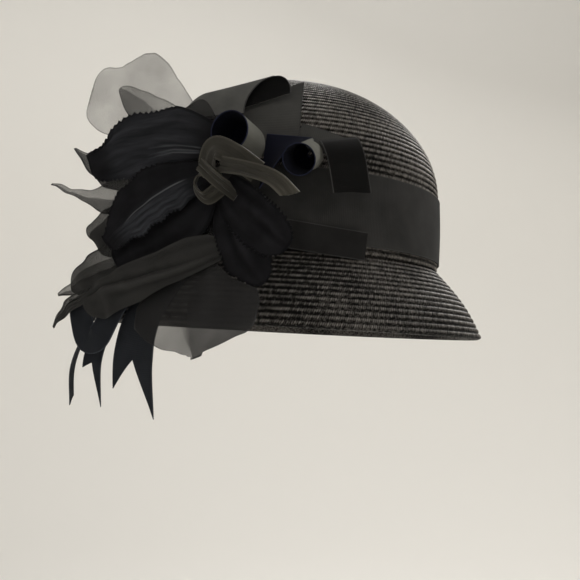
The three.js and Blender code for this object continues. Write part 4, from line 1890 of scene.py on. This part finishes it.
# Each loop gives the centre and radius of its back and front arcs, its start and sweep, and its lead-in
LOOPS = (
    Loop("ribbon_loop_top", G, DOME, (-36, 15.6, 6.5), 16, (-5.8, 21.6, 11), 18.1, 185, -192, 0,
         draw=0.0, squash=0.52, tilt=77, skew=20),
    Loop("ribbon_loop_upper", N, HEART, (14, 8, 1.4), 9.5, (15.4, 10.5, 24), 8.7, 250, -325, 0),
    Loop("ribbon_loop_right", N, FRONT, (0, 22.5, -0.65), 7.5, (-7.7, 15, 20), 7, 90, -345, 20, skew=60),
)

# Each ribbon gives its width, how far its end is cut back, and the rows of its middle line, then where given
# its hold, its face and its slim
# The face darkens a piece as painted shade below 0.5 and lightens it as painted light above
RIBBONS = (
    Ribbon("ribbon_end_top", G, DOME, 27, (0, -11, -22),
           ((-4, -3, -0.5, 0), (-4, 24, 6.4, 0), (-4, 40.8, 6.8, 0)), Hold.LAID, 0.7),
    Ribbon("ribbon_end_right", G, FRONT, 13, SQUARE,
           ((-12, -14, 1, 0), (8, -16, 1, 0), (28, -17.5, -2, 0)), Hold.LAID, 0.35),
    Ribbon("ribbon_end_side", G, FRONT, 12, SQUARE,
           ((-5, 32.6, -5, -19), (5, 30.2, -3.9, -19), (16, 27.3, -4.6, -19)), Hold.LAID, 0.68),
    Ribbon("ribbon_loop_outer", G, FRONT, 17, (-1.5, -1, 0),
           ((12.3, 30.5, -1, 0), (12.8, 28, 4.4, 0), (14.6, 20, 10.2, 0), (18.2, 3, 10.6, 0)),
           Hold.FOLDED, 0.1),
    Ribbon("streamer_wide", B, HEART, 20, (-10, -19, 0),
           ((-3, -8, 1.9, 0), (-8, -32, 2.6, 0), (-11, -42, 6.7, 18), (-15, -54, 17, 22),
            (-20, -70, 27.2, 10), (-23, -88, 28, 0), (-20.5, -114, 28, 0))),
    Ribbon("streamer_narrow", B, HEART, 10, (-14, -16, 0),
           ((-4, -7, 3.2, 0), (-14, -32, 5.3, 5), (-20.5, -42, 8.8, 20), (-32, -51, 13.2, 26),
            (-38, -62, 17.6, 20), (-44.5, -76, 21, 8), (-48.5, -90, 22, 0), (-46.5, -111, 23, 0))),
    Ribbon("streamer_edge", B, HEART, 9, (-5, -3, 0),
           ((-4, -9, 4.6, 0), (-23, -34, 7.6, 10), (-42, -50, 12.8, 34), (-48.5, -64, 16.8, 52),
            (-55, -79, 20.5, 64), (-60.5, -94, 20.5, 64), (-59.5, -111, 20.5, 62))),
    Ribbon("streamer_loop", B, HEART, 12, SQUARE,
           ((-11, -16, 7, 0), (-19, -36, 10.7, 10), (-25, -47, 14.9, 26), (-30.5, -58, 22.5, 28),
            (-34.5, -69, 29.5, 10), (-40, -80, 31.5, 0), (-47, -80.5, 29, 0), (-52.5, -72, 26.5, 0),
            (-55, -62, 25.5, 0)), Hold.FOLDED),
    Ribbon("silk_loop_upper", S, HEART, 10, SQUARE,
           ((4, -8, 15, 0), (5, -2, 22, 0), (11, 2.5, 27.5, 0), (20, -1, 27.5, 0), (28, -7, 20, 0)),
           Hold.FOLDED),
    Ribbon("silk_loop_left", S, HEART, 8, SQUARE,
           ((9, -8, 24.2, 60), (3, -8, 25, 60), (1, -13, 25, 60), (6, -18, 24.6, 60), (12, -14, 22.6, 60)),
           Hold.FOLDED),
    Ribbon("silk_tail_right", S, HEART, 7, (-5, -2, 0),
           ((15, -5, 29.4, 0), (28, -8, 31.6, -20), (40, -12, 30, -20), (48, -19.5, 26, 0)), face=0.9),
    Ribbon("silk_tail_low", S, HEART, 10, (0, 0, -6),
           ((6, -5, 31.2, 20), (15, -12, 31.6, 20), (23, -18, 27.5, 10)), face=0.1, slim=0.6),
)


@dataclass(frozen=True)
class SoftLight:
    """A square soft light: its place, aim and side in metres, its power in watts and its colour."""

    name: str
    place: Place
    aim: Place
    size: float
    power: float
    colour: Colour

    def hang(self) -> None:
        """Put the light into the scene."""
        data = bpy.data.lights.new(self.name, "AREA")
        data.size, data.energy, data.color = self.size, self.power, self.colour
        lamp = bpy.data.objects.new(self.name, data)
        lamp.location = self.place
        lamp.rotation_euler = (Vector(self.aim) - Vector(self.place)).to_track_quat("-Z", "Y").to_euler()
        bpy.context.scene.collection.objects.link(lamp)


WARM, COOL, MIDDLE = (1.0, 0.98, 0.95), (0.96, 0.98, 1.0), (0.0, 0.0, 0.0)
LIGHTS = (
    SoftLight("overhead", (0.55, 0.5, 1.15), MIDDLE, 0.7, 17.0, WARM),
    SoftLight("window", (1.0, -0.55, 0.6), MIDDLE, 0.8, 2.2, WARM),
    SoftLight("fill", (-1.1, -0.6, 0.4), MIDDLE, 0.8, 0.4, COOL),
    SoftLight("back_wash", (0.0, 0.7, 1.1), (0.0, 1.7, 0.5), 0.9, 4.9, WARM),
    SoftLight("front_wash", (0.0, -0.7, 1.1), (0.0, -1.7, 0.5), 0.9, 4.9, WARM),
)


@dataclass
class Studio:
    """A pale seamless floor, soft lights and the camera."""

    floor_height: float = -0.42
    floor_radius: float = 1.0
    wall_radius: float = 1.7
    wall_height: float = 1.6
    floor_rings: Pair = (0.2, 0.5)
    floor_bends: int = 16
    floor_steps: int = 96
    floor_rough: float = 0.9
    pale: Colour = (0.82, 0.805, 0.77)
    sky: Colour = (1.0, 0.985, 0.95)
    sky_strength: float = 0.055
    sensor: float = 36.0
    clip_start: float = 0.01
    focal_pixels: float = 800.0
    image_pixels: float = 580.0
    camera_place: Place = (0.0, -0.455, -0.041)
    pan: float = 0.5
    tilt: float = 3.65
    roll: float = 3.0

    def floor(self) -> None:
        """A round floor that curves up into a wall on every side."""
        bend = np.linspace(0, np.pi / 2, self.floor_bends)
        curve = self.wall_radius - self.floor_radius
        bent = self.floor_radius + curve * np.sin(bend)
        reach = np.concatenate([self.floor_rings, bent, [self.wall_radius]])
        height = np.concatenate([[0, 0], curve * (1 - np.cos(bend)), [self.wall_height]]) + self.floor_height
        steps = self.floor_steps
        angle = 2 * np.pi * np.arange(steps) / steps
        level = np.outer(height, np.ones(steps))
        rings = np.stack([np.outer(reach, np.cos(angle)), np.outer(reach, np.sin(angle)), level], -1)
        points = np.concatenate([rings.reshape(-1, 3), [[0, 0, self.floor_height]]])
        number = np.arange(len(reach) * steps).reshape(len(reach), steps)
        beside = np.roll(number, -1, axis=1)
        quads = np.stack([number[:-1], number[1:], beside[1:], beside[:-1]], -1).reshape(-1, 4).tolist()
        fan = [(int(a), int(b), len(points) - 1) for a, b in zip(number[0], beside[0])]
        floor = Workroom.mesh_piece("floor", points, quads + fan)
        floor.data.shade_smooth()
        material = bpy.data.materials.new("pale_floor")
        material.use_nodes = True
        shader = material.node_tree.nodes["Principled BSDF"]
        shader.inputs["Base Color"].default_value = tinted(self.pale)
        shader.inputs["Roughness"].default_value = self.floor_rough
        floor.data.materials.append(material)

    def lights(self) -> None:
        """A light from above, a window on the right, a fill, washes on the walls and soft light all round."""
        for light in LIGHTS:
            light.hang()
        world = bpy.data.worlds.new("soft_light")
        world.use_nodes = True
        ground = world.node_tree.nodes["Background"]
        ground.inputs["Color"].default_value = tinted(self.sky)
        ground.inputs["Strength"].default_value = self.sky_strength
        bpy.context.scene.world = world
        bpy.context.scene.view_settings.view_transform = "Standard"

    def camera(self) -> None:
        """The camera at the photograph's viewing angle."""
        pan, tilt, roll = (math.radians(angle) for angle in (self.pan, self.tilt, self.roll))
        ahead = Vector((math.sin(pan) * math.cos(tilt), math.cos(pan) * math.cos(tilt), math.sin(tilt)))
        level = Vector((math.cos(pan), -math.sin(pan), 0))
        above = level.cross(ahead)
        right = level * math.cos(roll) + above * math.sin(roll)
        up = above * math.cos(roll) - level * math.sin(roll)
        data = bpy.data.cameras.new("camera")
        data.sensor_width = self.sensor
        data.lens = data.sensor_width * self.focal_pixels / self.image_pixels
        data.clip_start = self.clip_start
        camera = bpy.data.objects.new("camera", data)
        turn = Matrix((right, up, -ahead)).transposed().to_4x4()
        camera.matrix_world = Matrix.Translation(self.camera_place) @ turn
        bpy.context.scene.collection.objects.link(camera)
        bpy.context.scene.camera = camera

    def build(self) -> None:
        """Set up the floor, the lights and the camera."""
        self.camera()
        self.floor()
        self.lights()


def main() -> None:
    """Build the studio and the hat, piece by piece."""
    logging.basicConfig(level=logging.INFO, format="%(name)s: %(message)s")
    Studio().build()
    room = Workroom()
    StrawBody(room).build()
    HatBand(room).build()
    FlowerTrim(room, PETALS).build()
    RibbonTrim(room, LOOPS, RIBBONS).build()
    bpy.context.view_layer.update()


if __name__ == "__main__":
    main()
